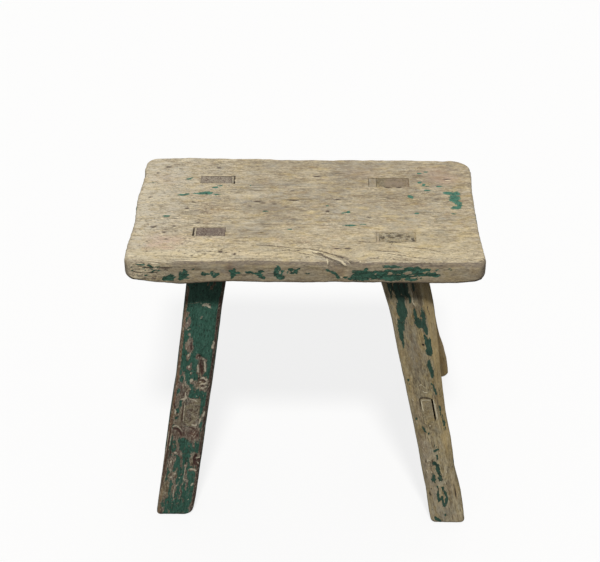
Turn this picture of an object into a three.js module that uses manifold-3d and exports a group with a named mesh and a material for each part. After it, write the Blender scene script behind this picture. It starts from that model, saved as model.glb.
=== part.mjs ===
// Wooden milking stool: one plank seat, four splayed legs tenoned and wedged through it, and a
// side stretcher tenoned through each pair of legs.
// Millimetres, +Z up, +X to the right as seen from the front, front edge towards -Y.
// The origin is on the floor, under the middle of the stool's footprint box.
import * as THREE from "three";
import { mergeVertices } from "three/addons/utils/BufferGeometryUtils.js";
import Module from "manifold-3d";

const wasm = await Module();
wasm.setup();

// ---------------------------------------------------------------- shared dimensions
const HEIGHT = 320; // floor to seat top
const SEAT_THICKNESS = 24.5;
const UNDERSIDE = HEIGHT - SEAT_THICKNESS; // height of the plank's underside
const LEG_DEPTH = 30; // leg section, front to back
const GAP = 0.3; // clearance left between neighbouring pieces
const SEAT_CENTRE = [0.18, -1.6]; // plan position of the plank's middle from the origin

const WOOD = {
  seat: { color: 0xb3a37f, roughness: 0.85, metalness: 0 },
  green: { color: 0x2c5a48, roughness: 0.7, metalness: 0 },
  bare: { color: 0x83755a, roughness: 0.85, metalness: 0 },
  dark: { color: 0x76665c, roughness: 0.85, metalness: 0 },
};

// Signs of x and y at the corners of a section, anticlockwise from the front left.
const CORNERS = [[-1, -1], [1, -1], [1, 1], [-1, 1]];

// ---------------------------------------------------------------- seat dimensions
const SEAT_WIDTH = 364; // plank length, left to right
const SEAT_DEPTH = 210; // plank width, front to back
const SEAT_CORNER_RADII = [12, 13, 18, 12]; // in plan, in CORNERS order
const SEAT_CORNER_SEGMENTS = 6;
const SIDE_EDGE_SEGMENTS = 11; // straight runs of the left and right edges
const LONG_EDGE_SEGMENTS = 14; // straight runs of the front and back edges

// Eased edges of the plank: [height, inset of the outline].
const SEAT_PROFILE = [
  [UNDERSIDE, 4], [UNDERSIDE + 0.9, 1.7], [UNDERSIDE + 3, 0.35], [UNDERSIDE + 6, 0],
  [HEIGHT - 6, 0], [HEIGHT - 2.8, 0.4], [HEIGHT - 0.8, 1.7], [HEIGHT, 4],
];

// The plank's edges are uneven: [position along the edge, how far it lies inside the overall size].
const WANDER = {
  left: [
    [-105, 0.2], [-83, 0], [-49, 1.5], [-26, 2.7], [-2, 1.3],
    [22, 0.6], [60, 1.8], [82, 1.0], [105, 2.2],
  ],
  right: [
    [-105, 0], [-88, 0.6], [-60, 1.8], [-40, 2.7],
    [39, 2.7], [52, 2.0], [72, 0.8], [105, 1.6],
  ],
  front: [[-182, 0.2], [-120, 0], [-40, 1.0], [60, 0.4], [120, 0.8], [182, 0.2]],
  back: [[-182, 0], [-90, 0.6], [20, 0.2], [100, 1.0], [182, 0.6]],
};
// The wander grows from nothing to full between these distances in from the overall edge.
const WANDER_START = 60;
const WANDER_FULL = 20;

// ---------------------------------------------------------------- leg dimensions
const ARRIS_SEGMENTS = 3;
const TENON_TOP = HEIGHT - 0.3; // tenon and wedge ends sit just under the seat surface
const TENON_ROOT = 6; // how far the tenon starts below the plank's underside
const MORTISE_OVERCUT = 5; // how far the cutter passes each face of the plank
const WEDGE_FOOT = 303; // nominal height of the lower end of the seat wedges
const SHOULDER_RISE = 0.3; // height over which the tenon narrows under its wedge

// Eased edge round each foot: [height, inset of the outline].
const FOOT_EASE = 1.4;
const FOOT_TOP = FOOT_EASE + 3.5;
const FOOT_PROFILE = [[0, FOOT_EASE], [FOOT_EASE, 0.4], [FOOT_TOP, 0]];

// Each leg's centre line runs from `top` (at HEIGHT) to `foot` (at the floor).
// `faces` lists [height, left, right]: the side faces, measured in x from that centre line.
// `arris` is the rounding of the upright edges, in CORNERS order.
// `tenon`: `left` and `right` are the mortise sides from the centre line and `depth` its size
// front to back; the wedge is on `wedgeSide` (-1 left, 1 right), `slack` in from the mortise
// side, and its thickness is `wedgeFoot` at the bottom and `wedgeTop` at the top.
const LEGS = {
  front_left: {
    wood: WOOD.green,
    stretcher: "left",
    top: [-99.4, -47.2],
    foot: [-146.8, -120.2],
    faces: [
      [0, -18.8, 22.0], [9, -18.8, 22.6], [31, -18.6, 23.0], [68, -18.2, 23.2],
      [104, -17.7, 23.2], [140, -17.0, 23.6], [160, -16.0, 23.9], [175, -16.0, 24.0],
      [210, -16.4, 23.6], [243, -16.6, 23.2], [270, -16.9, 23.6], [UNDERSIDE, -16.9, 23.6],
    ],
    arris: [4, 4.5, 4, 4],
    tenon: {
      left: -16.8, right: 16.7, depth: 15.8,
      wedgeSide: -1, wedgeTop: 2.1, wedgeFoot: 1.0, slack: 1.5,
    },
  },
  front_right: {
    wood: WOOD.bare,
    stretcher: "right",
    top: [93.0, -54.7],
    foot: [156.9, -127.9],
    faces: [
      [0, -16.4, 21.2], [10, -16.6, 21.4], [26, -16.0, 21.9], [40, -15.4, 20.6],
      [55, -15.8, 19.3], [72, -16.2, 20.4], [89, -15.8, 20.9], [120, -16.5, 20.3],
      [148, -17.4, 21.4], [175, -18.1, 22.6], [205, -19.2, 25.0], [239, -19.2, 26.6],
      [250, -20.0, 26.7], [262, -21.6, 26.0], [276, -23.0, 24.4], [UNDERSIDE, -23.4, 23.4],
    ],
    arris: [4, 8, 5, 4],
    tenon: {
      left: -20.5, right: 20.5, depth: 17.8,
      wedgeSide: -1, wedgeTop: 3.0, wedgeFoot: 1.6, slack: 0.3,
    },
  },
  back_right: {
    wood: WOOD.bare,
    stretcher: "right",
    top: [89.1, 54.3],
    foot: [155.9, 128.1],
    faces: [
      [0, -18.0, 22.0], [14, -18.0, 23.2], [37, -18.2, 23.6], [60, -18.8, 20.9],
      [72, -19.0, 20.3], [110, -19.6, 20.4], [171, -20.2, 20.7], [240, -21.6, 21.6],
      [UNDERSIDE, -23.0, 22.6],
    ],
    arris: [4, 4, 6, 5],
    tenon: {
      left: -21.9, right: 22.0, depth: 18.6,
      wedgeSide: -1, wedgeTop: 8.2, wedgeFoot: 5.0, slack: 0.3,
    },
  },
  back_left: {
    wood: WOOD.green,
    stretcher: "left",
    top: [-97.9, 58.1],
    foot: [-145.3, 131.1],
    faces: [
      [0, -18.2, 19.4], [20, -18.6, 20.0], [80, -19.0, 19.8], [150, -18.8, 20.2],
      [220, -19.2, 19.6], [UNDERSIDE, -19.4, 20.4],
    ],
    arris: [5, 4, 4, 6],
    tenon: {
      left: -18.3, right: 18.4, depth: 14.9,
      wedgeSide: 1, wedgeTop: 2.6, wedgeFoot: 1.2, slack: 0.3,
    },
  },
};

// ---------------------------------------------------------------- stretcher dimensions
const STRETCHER_END_INSET = 0.4; // tenon ends stop this far inside the legs' outer faces
const STRETCHER_HOLE_OVERCUT = 8; // how far the cutter passes the legs' outer faces

// `z` is the middle height. `body` spans between the legs and `tenon` runs through them.
// `offsets` are the x distances from the front and back legs' centre lines.
// `slackRight` is the clearance on the right of the tenon.
const STRETCHERS = {
  left: {
    wood: WOOD.green,
    legs: [LEGS.front_left, LEGS.back_left],
    z: 125.5,
    body: { height: 40, thickness: 21 },
    tenon: { height: 33, thickness: 15.0 },
    offsets: [6.5, 1.0],
    slackRight: 0.3,
  },
  right: {
    wood: WOOD.dark,
    legs: [LEGS.front_right, LEGS.back_right],
    z: 134.3,
    body: { height: 39, thickness: 19 },
    tenon: { height: 30, thickness: 11.6 },
    offsets: [1.5, 2.0],
    slackRight: 1.4,
  },
};

// ---------------------------------------------------------------- geometry helpers
const lerp = (a, b, t) => a + (b - a) * t;

// 0 to 1 as value goes between two limits, held beyond them.
const ramp = (value, from, to) => Math.min(1, Math.max(0, (value - from) / (to - from)));

// Column's value at a position in a [position, ...values] table, straight between its rows.
function valueAt(table, position, column) {
  for (let i = 1; i < table.length; i++) {
    const [before, after] = [table[i - 1], table[i]];
    if (position <= after[0]) {
      return lerp(before[column], after[column], ramp(position, before[0], after[0]));
    }
  }
  return table[table.length - 1][column];
}

// Quarter circle of [x, y] points round a centre, for the given index in CORNERS.
function cornerArc(corner, x, y, radius, segments) {
  const start = ((corner + 2) % 4) * (Math.PI / 2);
  return Array.from({ length: segments + 1 }, (_, i) => {
    const angle = start + (i / segments) * (Math.PI / 2);
    return [x + Math.cos(angle) * radius, y + Math.sin(angle) * radius];
  });
}

// Closed skin through a stack of anticlockwise rings, listed from the bottom up: the first ring's
// outline is extruded once per step, then each layer's corners move onto its own ring's points.
function loft(rings) {
  const base = rings[0];
  const outline = new THREE.Shape(base.map(([x, y]) => new THREE.Vector2(x, y)));
  const steps = rings.length - 1;
  const skin = new THREE.ExtrudeGeometry(outline, { depth: steps, steps, bevelEnabled: false });
  const points = skin.getAttribute("position");
  for (let k = 0; k < points.count; k++) {
    let nearest = 0;
    let least = Infinity;
    base.forEach(([x, y], i) => {
      const distance = (points.getX(k) - x) ** 2 + (points.getY(k) - y) ** 2;
      if (distance < least) [nearest, least] = [i, distance];
    });
    points.setXYZ(k, ...rings[Math.round(points.getZ(k))][nearest]);
  }
  return toSolid(skin);
}

function toSolid(geometry) {
  // Normals and texture coordinates would keep coincident vertices apart.
  geometry.deleteAttribute("normal");
  geometry.deleteAttribute("uv");
  const welded = mergeVertices(geometry, 1e-4);
  return new wasm.Manifold(
    new wasm.Mesh({
      numProp: 3,
      vertProperties: welded.attributes.position.array,
      triVerts: new Uint32Array(welded.index.array),
    }),
  );
}

function toMesh(name, solid, wood) {
  const { vertProperties, triVerts } = solid.getMesh();
  const geometry = new THREE.BufferGeometry()
    .setAttribute("position", new THREE.BufferAttribute(vertProperties, 3))
    .setIndex(new THREE.BufferAttribute(triVerts, 1));
  geometry.computeVertexNormals();
  const material = new THREE.MeshStandardMaterial({ ...wood, flatShading: true });
  const mesh = new THREE.Mesh(geometry, material);
  mesh.name = name;
  return mesh;
}

// [x, y] of a leg's centre line at height z.
function legCentre(leg, z) {
  const drop = (HEIGHT - z) / HEIGHT;
  return [lerp(leg.top[0], leg.foot[0], drop), lerp(leg.top[1], leg.foot[1], drop)];
}

// Rectangular ring placed about a leg's centre line at height z.
function slabRing(leg, z, [left, right], depth) {
  const [x, y] = legCentre(leg, z);
  return CORNERS.map(([sx, sy]) => [x + (sx < 0 ? left : right), y + (sy * depth) / 2, z]);
}

// ---------------------------------------------------------------- seat plank
function seatRing(z, inset) {
  const halfWidth = SEAT_WIDTH / 2;
  const halfDepth = SEAT_DEPTH / 2;
  const ring = [];
  CORNERS.forEach(([sx, sy], c) => {
    const radius = SEAT_CORNER_RADII[c];
    const [x, y] = [sx * (halfWidth - radius), sy * (halfDepth - radius)];
    ring.push(...cornerArc(c, x, y, radius - inset, SEAT_CORNER_SEGMENTS));

    // Points along the edge that follows this corner.
    const next = (c + 1) % 4;
    const [nextSx, nextSy] = CORNERS[next];
    const nextRadius = SEAT_CORNER_RADII[next];
    const isSide = sx === nextSx;
    const segments = isSide ? SIDE_EDGE_SEGMENTS : LONG_EDGE_SEGMENTS;
    for (let i = 1; i < segments; i++) {
      const t = i / segments;
      if (isSide) {
        ring.push([sx * (halfWidth - inset), lerp(y, nextSy * (halfDepth - nextRadius), t)]);
      } else {
        ring.push([lerp(x, nextSx * (halfWidth - nextRadius), t), sy * (halfDepth - inset)]);
      }
    }
  });

  // Pulls a coordinate inwards by its edge's wander, fading out towards the plank's middle.
  const pullIn = (value, half, table, position) => {
    const strength = ramp(Math.abs(value), half - WANDER_START, half - WANDER_FULL);
    return value - Math.sign(value) * strength * valueAt(table, position, 1);
  };
  return ring.map(([x, y]) => [
    pullIn(x, halfWidth, x < 0 ? WANDER.left : WANDER.right, y),
    pullIn(y, halfDepth, y < 0 ? WANDER.front : WANDER.back, x),
    z,
  ]);
}

function seatPlank() {
  let plank = loft(SEAT_PROFILE.map(([z, inset]) => seatRing(z, inset)));
  for (const leg of Object.values(LEGS)) {
    const { left, right, depth } = leg.tenon;
    const ends = [UNDERSIDE - MORTISE_OVERCUT, HEIGHT + MORTISE_OVERCUT];
    plank = plank.subtract(loft(ends.map((z) => slabRing(leg, z, [left, right], depth))));
  }
  return plank;
}

// ---------------------------------------------------------------- stretchers
// Board between a pair of legs, its ends following their lean. `reach` is how far each end
// passes its leg's centre line, negative if short of it; left and right are side clearances.
function rail(stretcher, { height, thickness }, reach, [left, right] = [0, 0]) {
  const { legs, z: middle, offsets } = stretcher;
  const [frontY, backY] = legs.map((leg) => legCentre(leg, middle)[1]);
  const rings = [middle - height / 2, middle, middle + height / 2].map((z) => {
    const [front, back] = legs.map((leg) => legCentre(leg, z));
    const xAt = (y) => {
      const t = (y - frontY) / (backY - frontY);
      return lerp(front[0] + offsets[0], back[0] + offsets[1], t);
    };
    const ends = [front[1] - reach, back[1] + reach];
    return CORNERS.map(([sx, sy]) => {
      const y = sy < 0 ? ends[0] : ends[1];
      return [xAt(y) + sx * (thickness / 2 + (sx < 0 ? left : right)), y, z];
    });
  });
  return loft(rings);
}

function stretcherBoard(stretcher) {
  const body = rail(stretcher, stretcher.body, -(LEG_DEPTH / 2 + GAP));
  return body.add(rail(stretcher, stretcher.tenon, LEG_DEPTH / 2 - STRETCHER_END_INSET));
}

function stretcherHole(stretcher) {
  const { height, thickness } = stretcher.tenon;
  const section = { height: height + 2 * GAP, thickness };
  const reach = LEG_DEPTH / 2 + STRETCHER_HOLE_OVERCUT;
  return rail(stretcher, section, reach, [GAP, stretcher.slackRight]);
}

// ---------------------------------------------------------------- legs and their wedges
function legRing(leg, z, inset = 0) {
  const [x, y] = legCentre(leg, z);
  const left = x + valueAt(leg.faces, z, 1) + inset;
  const right = x + valueAt(leg.faces, z, 2) - inset;
  return CORNERS.flatMap(([sx, sy], c) => {
    const radius = leg.arris[c];
    const arcX = (sx < 0 ? left : right) - sx * radius;
    const arcY = y + sy * (LEG_DEPTH / 2 - inset) - sy * radius;
    return cornerArc(c, arcX, arcY, radius, ARRIS_SEGMENTS);
  }).map(([px, py]) => [px, py, z]);
}

// Tenon: full width below the wedge, then cut back on the wedge's side.
function legTenon(leg) {
  const { left, right, depth, wedgeSide, wedgeTop, wedgeFoot, slack } = leg.tenon;
  const ring = (z, cut) => {
    const span = wedgeSide < 0 ? [left + cut, right - GAP] : [left + GAP, right - cut];
    return slabRing(leg, z, span, depth - 2 * GAP);
  };
  return loft([
    ring(UNDERSIDE - TENON_ROOT, GAP),
    ring(WEDGE_FOOT - GAP - SHOULDER_RISE, GAP),
    ring(WEDGE_FOOT - GAP, slack + wedgeFoot + GAP),
    ring(TENON_TOP, slack + wedgeTop + GAP),
  ]);
}

function legSolid(leg) {
  const heights = leg.faces.map(([z]) => z).filter((z) => z > FOOT_TOP && z < UNDERSIDE);
  const body = loft([
    ...FOOT_PROFILE.map(([z, inset]) => legRing(leg, z, inset)),
    ...[...heights, UNDERSIDE - GAP].map((z) => legRing(leg, z)),
  ]);
  return body.add(legTenon(leg)).subtract(stretcherHole(STRETCHERS[leg.stretcher]));
}

function legWedge(leg) {
  const { left, right, depth, wedgeSide, wedgeTop, wedgeFoot, slack } = leg.tenon;
  const ring = (z, thickness) => {
    const span = wedgeSide < 0
      ? [left + slack, left + slack + thickness]
      : [right - slack - thickness, right - slack];
    return slabRing(leg, z, span, depth - 2 * GAP);
  };
  return loft([ring(WEDGE_FOOT + GAP, wedgeFoot), ring(TENON_TOP, wedgeTop)]);
}

// ---------------------------------------------------------------- assembly
const stool = new THREE.Group();
stool.position.set(...SEAT_CENTRE, 0);
stool.add(toMesh("seat_plank", seatPlank(), WOOD.seat));
for (const [name, leg] of Object.entries(LEGS)) {
  stool.add(toMesh("leg_" + name, legSolid(leg), leg.wood));
  stool.add(toMesh("wedge_" + name, legWedge(leg), WOOD.seat));
}
for (const [side, stretcher] of Object.entries(STRETCHERS)) {
  stool.add(toMesh("stretcher_" + side, stretcherBoard(stretcher), stretcher.wood));
}

export default stool;
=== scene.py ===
# Wooden milking stool: the visual model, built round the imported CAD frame.
import math

import bpy
import numpy as np
from mathutils import Matrix, Vector


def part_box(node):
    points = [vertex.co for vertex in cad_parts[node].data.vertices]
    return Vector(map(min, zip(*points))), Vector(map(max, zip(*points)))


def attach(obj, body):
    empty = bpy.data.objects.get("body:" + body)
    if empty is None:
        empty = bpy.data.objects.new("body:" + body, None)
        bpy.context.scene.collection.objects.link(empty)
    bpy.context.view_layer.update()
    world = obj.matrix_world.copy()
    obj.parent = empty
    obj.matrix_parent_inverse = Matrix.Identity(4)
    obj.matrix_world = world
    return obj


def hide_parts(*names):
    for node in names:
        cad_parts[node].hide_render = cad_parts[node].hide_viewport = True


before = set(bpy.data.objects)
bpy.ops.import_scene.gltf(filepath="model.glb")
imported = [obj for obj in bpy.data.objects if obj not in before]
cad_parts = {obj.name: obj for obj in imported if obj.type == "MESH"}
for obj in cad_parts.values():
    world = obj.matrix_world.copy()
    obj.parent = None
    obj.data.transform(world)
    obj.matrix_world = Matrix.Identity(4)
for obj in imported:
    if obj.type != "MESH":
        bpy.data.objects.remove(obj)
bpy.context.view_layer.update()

MM = 0.001

# ------------------------------------------------------------------ where things are
# Shapes are worked out in millimetres from the middle of the plank's plan, then shifted into the row frame.
seat_lo, seat_hi = [np.array(v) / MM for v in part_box("seat_plank")]
SHIFT = np.array([(seat_lo[0] + seat_hi[0]) / 2 + 0.184, (seat_lo[1] + seat_hi[1]) / 2 + 0.0365, 0.0])
TOP = float(seat_hi[2])  # height of the seat's top face
UNDER = float(seat_lo[2])  # height of its underside
HW = 181.9  # half the plank's length
HD = 105.0  # half its width
GAP = 0.3
LEG_D = 30.0
WEDGE_FOOT = 303.0

LEGS = {
    "front_left": dict(
        top=(-99.4, -47.2), foot=(-146.8, -120.2),
        side=[(0, -18.8, 22.0), (9, -18.8, 22.6), (31, -18.6, 23.0), (68, -18.2, 23.2), (104, -17.7, 23.2), (140, -17.0, 23.6), (160, -16.0, 23.9),
              (175, -16.0, 24.0), (210, -16.4, 23.6), (243, -16.6, 23.2), (270, -16.9, 23.6), (UNDER, -16.9, 23.6)],
        arris=(4.2, 4.6, 4, 4), u=(-16.8, 16.7), v=15.8, wedge=-1, wt=2.1, wf=1.0, slack=1.5),
    "front_right": dict(
        top=(93.0, -54.7), foot=(156.9, -127.9),
        side=[(0, -16.4, 21.2), (10, -16.6, 21.4), (26, -16.0, 21.9), (40, -15.4, 20.6), (55, -15.8, 19.3), (72, -16.2, 20.4), (89, -15.8, 20.9), (120, -16.5, 20.3),
              (148, -17.4, 21.4), (175, -18.1, 22.6), (205, -19.2, 25.0), (239, -19.2, 26.6), (250, -20.0, 26.7), (262, -21.6, 26.0), (276, -23.0, 24.4), (UNDER, -23.4, 23.4)],
        arris=(4, 9.5, 5, 4), u=(-20.5, 20.5), v=17.8, wedge=-1, wt=3.0, wf=1.6, slack=0.3),
    "back_right": dict(
        top=(89.1, 54.3), foot=(155.9, 128.1),
        side=[(0, -18.0, 21.6), (14, -18.0, 22.6), (37, -18.2, 22.4), (60, -18.8, 20.2), (72, -19.0, 20.0), (110, -19.6, 20.4), (171, -20.2, 20.7), (240, -21.6, 21.6), (UNDER, -23.0, 22.6)],
        arris=(4, 4, 6, 5), u=(-21.9, 22.0), v=18.6, wedge=-1, wt=8.2, wf=5.0, slack=0.3),
    "back_left": dict(
        top=(-97.9, 58.1), foot=(-145.3, 131.1),
        side=[(0, -18.2, 19.4), (20, -18.6, 20.0), (80, -19.0, 19.8), (150, -18.8, 20.2), (220, -19.2, 19.6), (UNDER, -19.4, 20.4)],
        arris=(5, 4, 4, 6), u=(-18.3, 18.4), v=14.9, wedge=1, wt=2.6, wf=1.2, slack=0.3),
}
STRETCHERS = {
    "left": dict(legs=("front_left", "back_left"), z=125.5, h=33.0, t=15.0, H=40.0, T=21.0, at=(6.5, 1.0), slack=0.3),
    "right": dict(legs=("front_right", "back_right"), z=134.3, h=30.0, t=11.6, H=39.0, T=19.0, at=(1.5, 2.0), slack=1.6),
}
for leg in LEGS.values():
    leg["tab"] = np.array(leg["side"], float)


def axis(leg, z):
    t = (320.0 - np.asarray(z, float)) / 320.0
    return leg["top"][0] + (leg["foot"][0] - leg["top"][0]) * t, leg["top"][1] + (leg["foot"][1] - leg["top"][1]) * t


# ------------------------------------------------------------------ noise
def _hash(ix, iy, iz, seed):
    h = (ix * 374761393 + iy * 668265263 + iz * 1440662683 + seed * 974634777) & 0xFFFFFFFF
    h = ((h ^ (h >> 13)) * 1274126177) & 0xFFFFFFFF
    h = ((h ^ (h >> 15)) * 1103515245) & 0xFFFFFFFF
    return ((h ^ (h >> 16)) & 0xFFFFFF) / 8388607.5 - 1.0


def vnoise(p, seed):
    i = np.floor(p).astype(np.int64)
    f = p - i
    f = f * f * f * (f * (f * 6 - 15) + 10)
    out = np.zeros(len(p))
    for dx in (0, 1):
        for dy in (0, 1):
            for dz in (0, 1):
                w = (f[:, 0] if dx else 1 - f[:, 0]) * (f[:, 1] if dy else 1 - f[:, 1]) * (f[:, 2] if dz else 1 - f[:, 2])
                out += w * _hash(i[:, 0] + dx, i[:, 1] + dy, i[:, 2] + dz, seed)
    return out


def fbm(p, size, octaves=4, seed=0, gain=0.5):
    """Fractal noise, about -1..1. size is the first octave's cell, in mm along each axis."""
    q = p / np.array(size, float)
    out, a, total = np.zeros(len(p)), 1.0, 0.0
    for o in range(octaves):
        out += a * vnoise(q * 2**o + 17.3 * o, seed + 31 * o)
        total += a
        a *= gain
    return out / total * 1.5


def smooth(lo, hi, v):
    t = np.clip((v - lo) / (hi - lo), 0, 1)
    return t * t * (3 - 2 * t)


def blobs(a, b, spots):
    """Largest of 1 - r over the ellipses (centre a, centre b, half size a, half size b[, tilt degrees[, squareness]])."""
    best = np.full(len(a), -9.0)
    for s in spots:
        da, db = a - s[0], b - s[1]
        if len(s) > 4:
            c, t = math.cos(math.radians(s[4])), math.sin(math.radians(s[4]))
            da, db = da * c + db * t, -da * t + db * c
        k = s[5] if len(s) > 5 else 2.0
        best = np.maximum(best, 1 - (np.abs(da / s[2]) ** k + np.abs(db / s[3]) ** k) ** (1 / k))
    return best


def bumps(a, b, spots):
    """Sum of weight x gaussian over (centre a, centre b, size a, size b, weight)."""
    out = np.zeros(len(a))
    for s in spots:
        out += s[4] * np.exp(-(((a - s[0]) / s[2]) ** 2 + ((b - s[1]) / s[3]) ** 2))
    return out


def polyline_distance(p, line):
    """Distance to a polyline and the share along it. p is (N, k)."""
    line = np.array(line, float)
    best, share = np.full(len(p), 1e9), np.zeros(len(p))
    for i in range(len(line) - 1):
        d = line[i + 1] - line[i]
        t = np.clip(((p - line[i]) @ d) / (d @ d), 0, 1)
        r = np.linalg.norm(p - line[i] - t[:, None] * d, axis=1)
        near = r < best
        best[near], share[near] = r[near], (i + t[near]) / (len(line) - 1)
    return best, share


def marks(p, lines, best=None):
    """Highest along each (points, half width, strength) line and falling off to both sides."""
    best = np.full(len(p), -1.0) if best is None else best
    for line, w, strength in lines:
        r, share = polyline_distance(p, line)
        best = np.maximum(best, strength * (1 - r / (2 * w)) - 0.35 * np.clip(1 - np.minimum(share, 1 - share) * 7, 0, 1))
    return best


# ------------------------------------------------------------------ meshes
def box_grid(nx, ny, nz):
    """The surface of a lattice box as index arrays and outward quads."""
    on = np.zeros((nx + 1, ny + 1, nz + 1), bool)
    on[0], on[-1], on[:, 0], on[:, -1], on[:, :, 0], on[:, :, -1] = (True,) * 6
    idx = -np.ones(on.shape, int)
    I, J, K = np.nonzero(on)
    idx[I, J, K] = np.arange(len(I))
    quads = []

    def side(a, b, c, d):
        quads.append(np.stack([x.ravel() for x in (a, b, c, d)], 1))

    g = idx[:, :, 0]; side(g[:-1, :-1], g[:-1, 1:], g[1:, 1:], g[1:, :-1])
    g = idx[:, :, -1]; side(g[:-1, :-1], g[1:, :-1], g[1:, 1:], g[:-1, 1:])
    g = idx[:, 0, :]; side(g[:-1, :-1], g[1:, :-1], g[1:, 1:], g[:-1, 1:])
    g = idx[:, -1, :]; side(g[:-1, :-1], g[:-1, 1:], g[1:, 1:], g[1:, :-1])
    g = idx[0]; side(g[:-1, :-1], g[:-1, 1:], g[1:, 1:], g[1:, :-1])
    g = idx[-1]; side(g[:-1, :-1], g[1:, :-1], g[1:, 1:], g[:-1, 1:])
    return I, J, K, np.concatenate(quads)


def normals(v, q):
    a = np.cross(v[q[:, 2]] - v[q[:, 0]], v[q[:, 3]] - v[q[:, 1]])
    n = np.zeros_like(v)
    for c in range(4):
        np.add.at(n, q[:, c], a)
    return n / (np.linalg.norm(n, axis=1, keepdims=True) + 1e-12)


def round_corners(x, y, x0, x1, y0, y1, radii, chamfer=(0, 0, 0, 0)):
    """Folds a rectangle's lattice onto rounded or chamfered corners: front-left, front-right, back-right, back-left."""
    x, y = x.copy(), y.copy()
    for (sx, sy), R, ch in zip(((-1, -1), (1, -1), (1, 1), (-1, 1)), radii, chamfer):
        cx = (x1 - R) if sx > 0 else (x0 + R)
        cy = (y1 - R) if sy > 0 else (y0 + R)
        a, b = sx * (x - cx) / R, sy * (y - cy) / R
        hit = (a > 0) & (b > 0)
        m, l = np.maximum(a, b), np.hypot(a, b) + 1e-12
        s = (1 - ch) * m / l + ch * m / (a + b + 1e-12)
        x = np.where(hit, cx + sx * a * s * R, x)
        y = np.where(hit, cy + sy * b * s * R, y)
    return x, y


def new_object(name, v, q, smooth_angle=38):
    mesh = bpy.data.meshes.new(name)
    mesh.from_pydata((np.asarray(v) * MM).tolist(), [], np.asarray(q).tolist())
    mesh.validate()
    obj = bpy.data.objects.new(name, mesh)
    bpy.context.scene.collection.objects.link(obj)
    return obj


def shade(obj, angle=38):
    m = obj.data
    m.polygons.foreach_set("use_smooth", np.ones(len(m.polygons), bool))
    m.set_sharp_from_angle(angle=math.radians(angle))
    m.update()


def cut(obj, cutters):
    """Takes the cutters' shapes out of obj and removes them."""
    for c in cutters:
        before = len(obj.data.vertices)
        for solver in ("MANIFOLD", "EXACT"):
            mod = obj.modifiers.new("cut", "BOOLEAN")
            mod.operation, mod.object, mod.solver = "DIFFERENCE", c, solver
            dg = bpy.context.evaluated_depsgraph_get()
            made = bpy.data.meshes.new_from_object(obj.evaluated_get(dg))
            obj.modifiers.remove(mod)
            if len(made.vertices) > 8 and len(made.vertices) != before:
                old, obj.data = obj.data, made
                bpy.data.meshes.remove(old)
                break
        bpy.data.objects.remove(c)
    obj.data.name = obj.name
    return obj


def co(obj):
    a = np.empty(len(obj.data.vertices) * 3, np.float32)
    obj.data.vertices.foreach_get("co", a)
    return a.reshape(-1, 3).astype(float) / MM


def vertex_normals(obj):
    a = np.empty(len(obj.data.vertices) * 3, np.float32)
    obj.data.vertex_normals.foreach_get("vector", a)
    return a.reshape(-1, 3).astype(float)


def put(obj, **fields):
    """Writes named per-vertex values, single numbers or vectors."""
    for name, value in fields.items():
        value = np.asarray(value, np.float32)
        kind = "FLOAT_VECTOR" if value.ndim == 2 else "FLOAT"
        at = obj.data.attributes.new(name, kind, "POINT")
        at.data.foreach_set("vector" if value.ndim == 2 else "value", np.ascontiguousarray(value).ravel())


def lay_out(obj, region):
    """Flat charts by region and facing direction in one UV layer, all at the same scale, packed in shelves."""
    m = obj.data
    n_loops = len(m.loops)
    loop_v = np.empty(n_loops, np.int32); m.loops.foreach_get("vertex_index", loop_v)
    starts = np.empty(len(m.polygons), np.int32); m.polygons.foreach_get("loop_start", starts)
    totals = np.empty(len(m.polygons), np.int32); m.polygons.foreach_get("loop_total", totals)
    pn = np.empty(len(m.polygons) * 3, np.float32); m.polygons.foreach_get("normal", pn); pn = pn.reshape(-1, 3)
    pc = np.empty(len(m.polygons) * 3, np.float32); m.polygons.foreach_get("center", pc); pc = pc.reshape(-1, 3) / MM - SHIFT
    way = np.argmax(np.abs(pn), axis=1)
    chart = region(pc, pn) * 6 + way * 2 + (pn[np.arange(len(pn)), way] > 0)
    loop_chart = np.repeat(chart, totals)
    p = co(obj)[loop_v]
    uv = np.zeros((n_loops, 2))
    boxes = []
    for c in np.unique(chart):
        sel = loop_chart == c
        w = (c % 6) // 2
        q = p[sel][:, [1, 2] if w == 0 else ([0, 2] if w == 1 else [0, 1])]
        lo, hi = q.min(0), q.max(0)
        turn = (hi - lo)[1] > (hi - lo)[0]
        q = q - lo
        if turn:
            q = q[:, ::-1]
        boxes.append([c, *(q.max(0) + 3.0), sel, q])
    area = sum(b[1] * b[2] for b in boxes)
    width = max(math.sqrt(area) * 1.06, max(b[1] for b in boxes))
    boxes.sort(key=lambda b: -b[2])
    x = y = shelf = 0.0
    spots = []
    for b in boxes:
        if x + b[1] > width:
            x, y, shelf = 0.0, y + shelf, 0.0
        spots.append((x, y)); x += b[1]; shelf = max(shelf, b[2])
    size = max(width, y + shelf)
    for b, (sx, sy) in zip(boxes, spots):
        uv[b[3]] = (b[4] + [sx + 1.5, sy + 1.5]) / size
    layer = m.uv_layers.new(name="OFBake")
    layer.data.foreach_set("uv", uv.astype(np.float32).ravel())


def lines(half, edge, fine, coarse):
    """Positions from -half to half, close together within `edge` of each end."""
    e = np.linspace(0, edge, max(2, int(round(edge / fine)) + 1))
    mid = np.linspace(-half + edge, half - edge, int(round((2 * half - 2 * edge) / coarse)) + 1)
    return np.concatenate([-half + e[:-1], mid, (half - e[:-1])[::-1]])


def graded(marks):
    """Positions through (position, spacing to the next mark) pairs."""
    out = [marks[0][0]]
    for (a, step), (b, _) in zip(marks, marks[1:]):
        n = max(1, int(round((b - a) / step)))
        out += list(a + (b - a) * np.arange(1, n + 1) / n)
    return np.array(out)


def table(points, v):
    a = np.array(points, float)
    return np.interp(v, a[:, 0], a[:, 1])


rng = np.random.default_rng(41)

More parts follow.
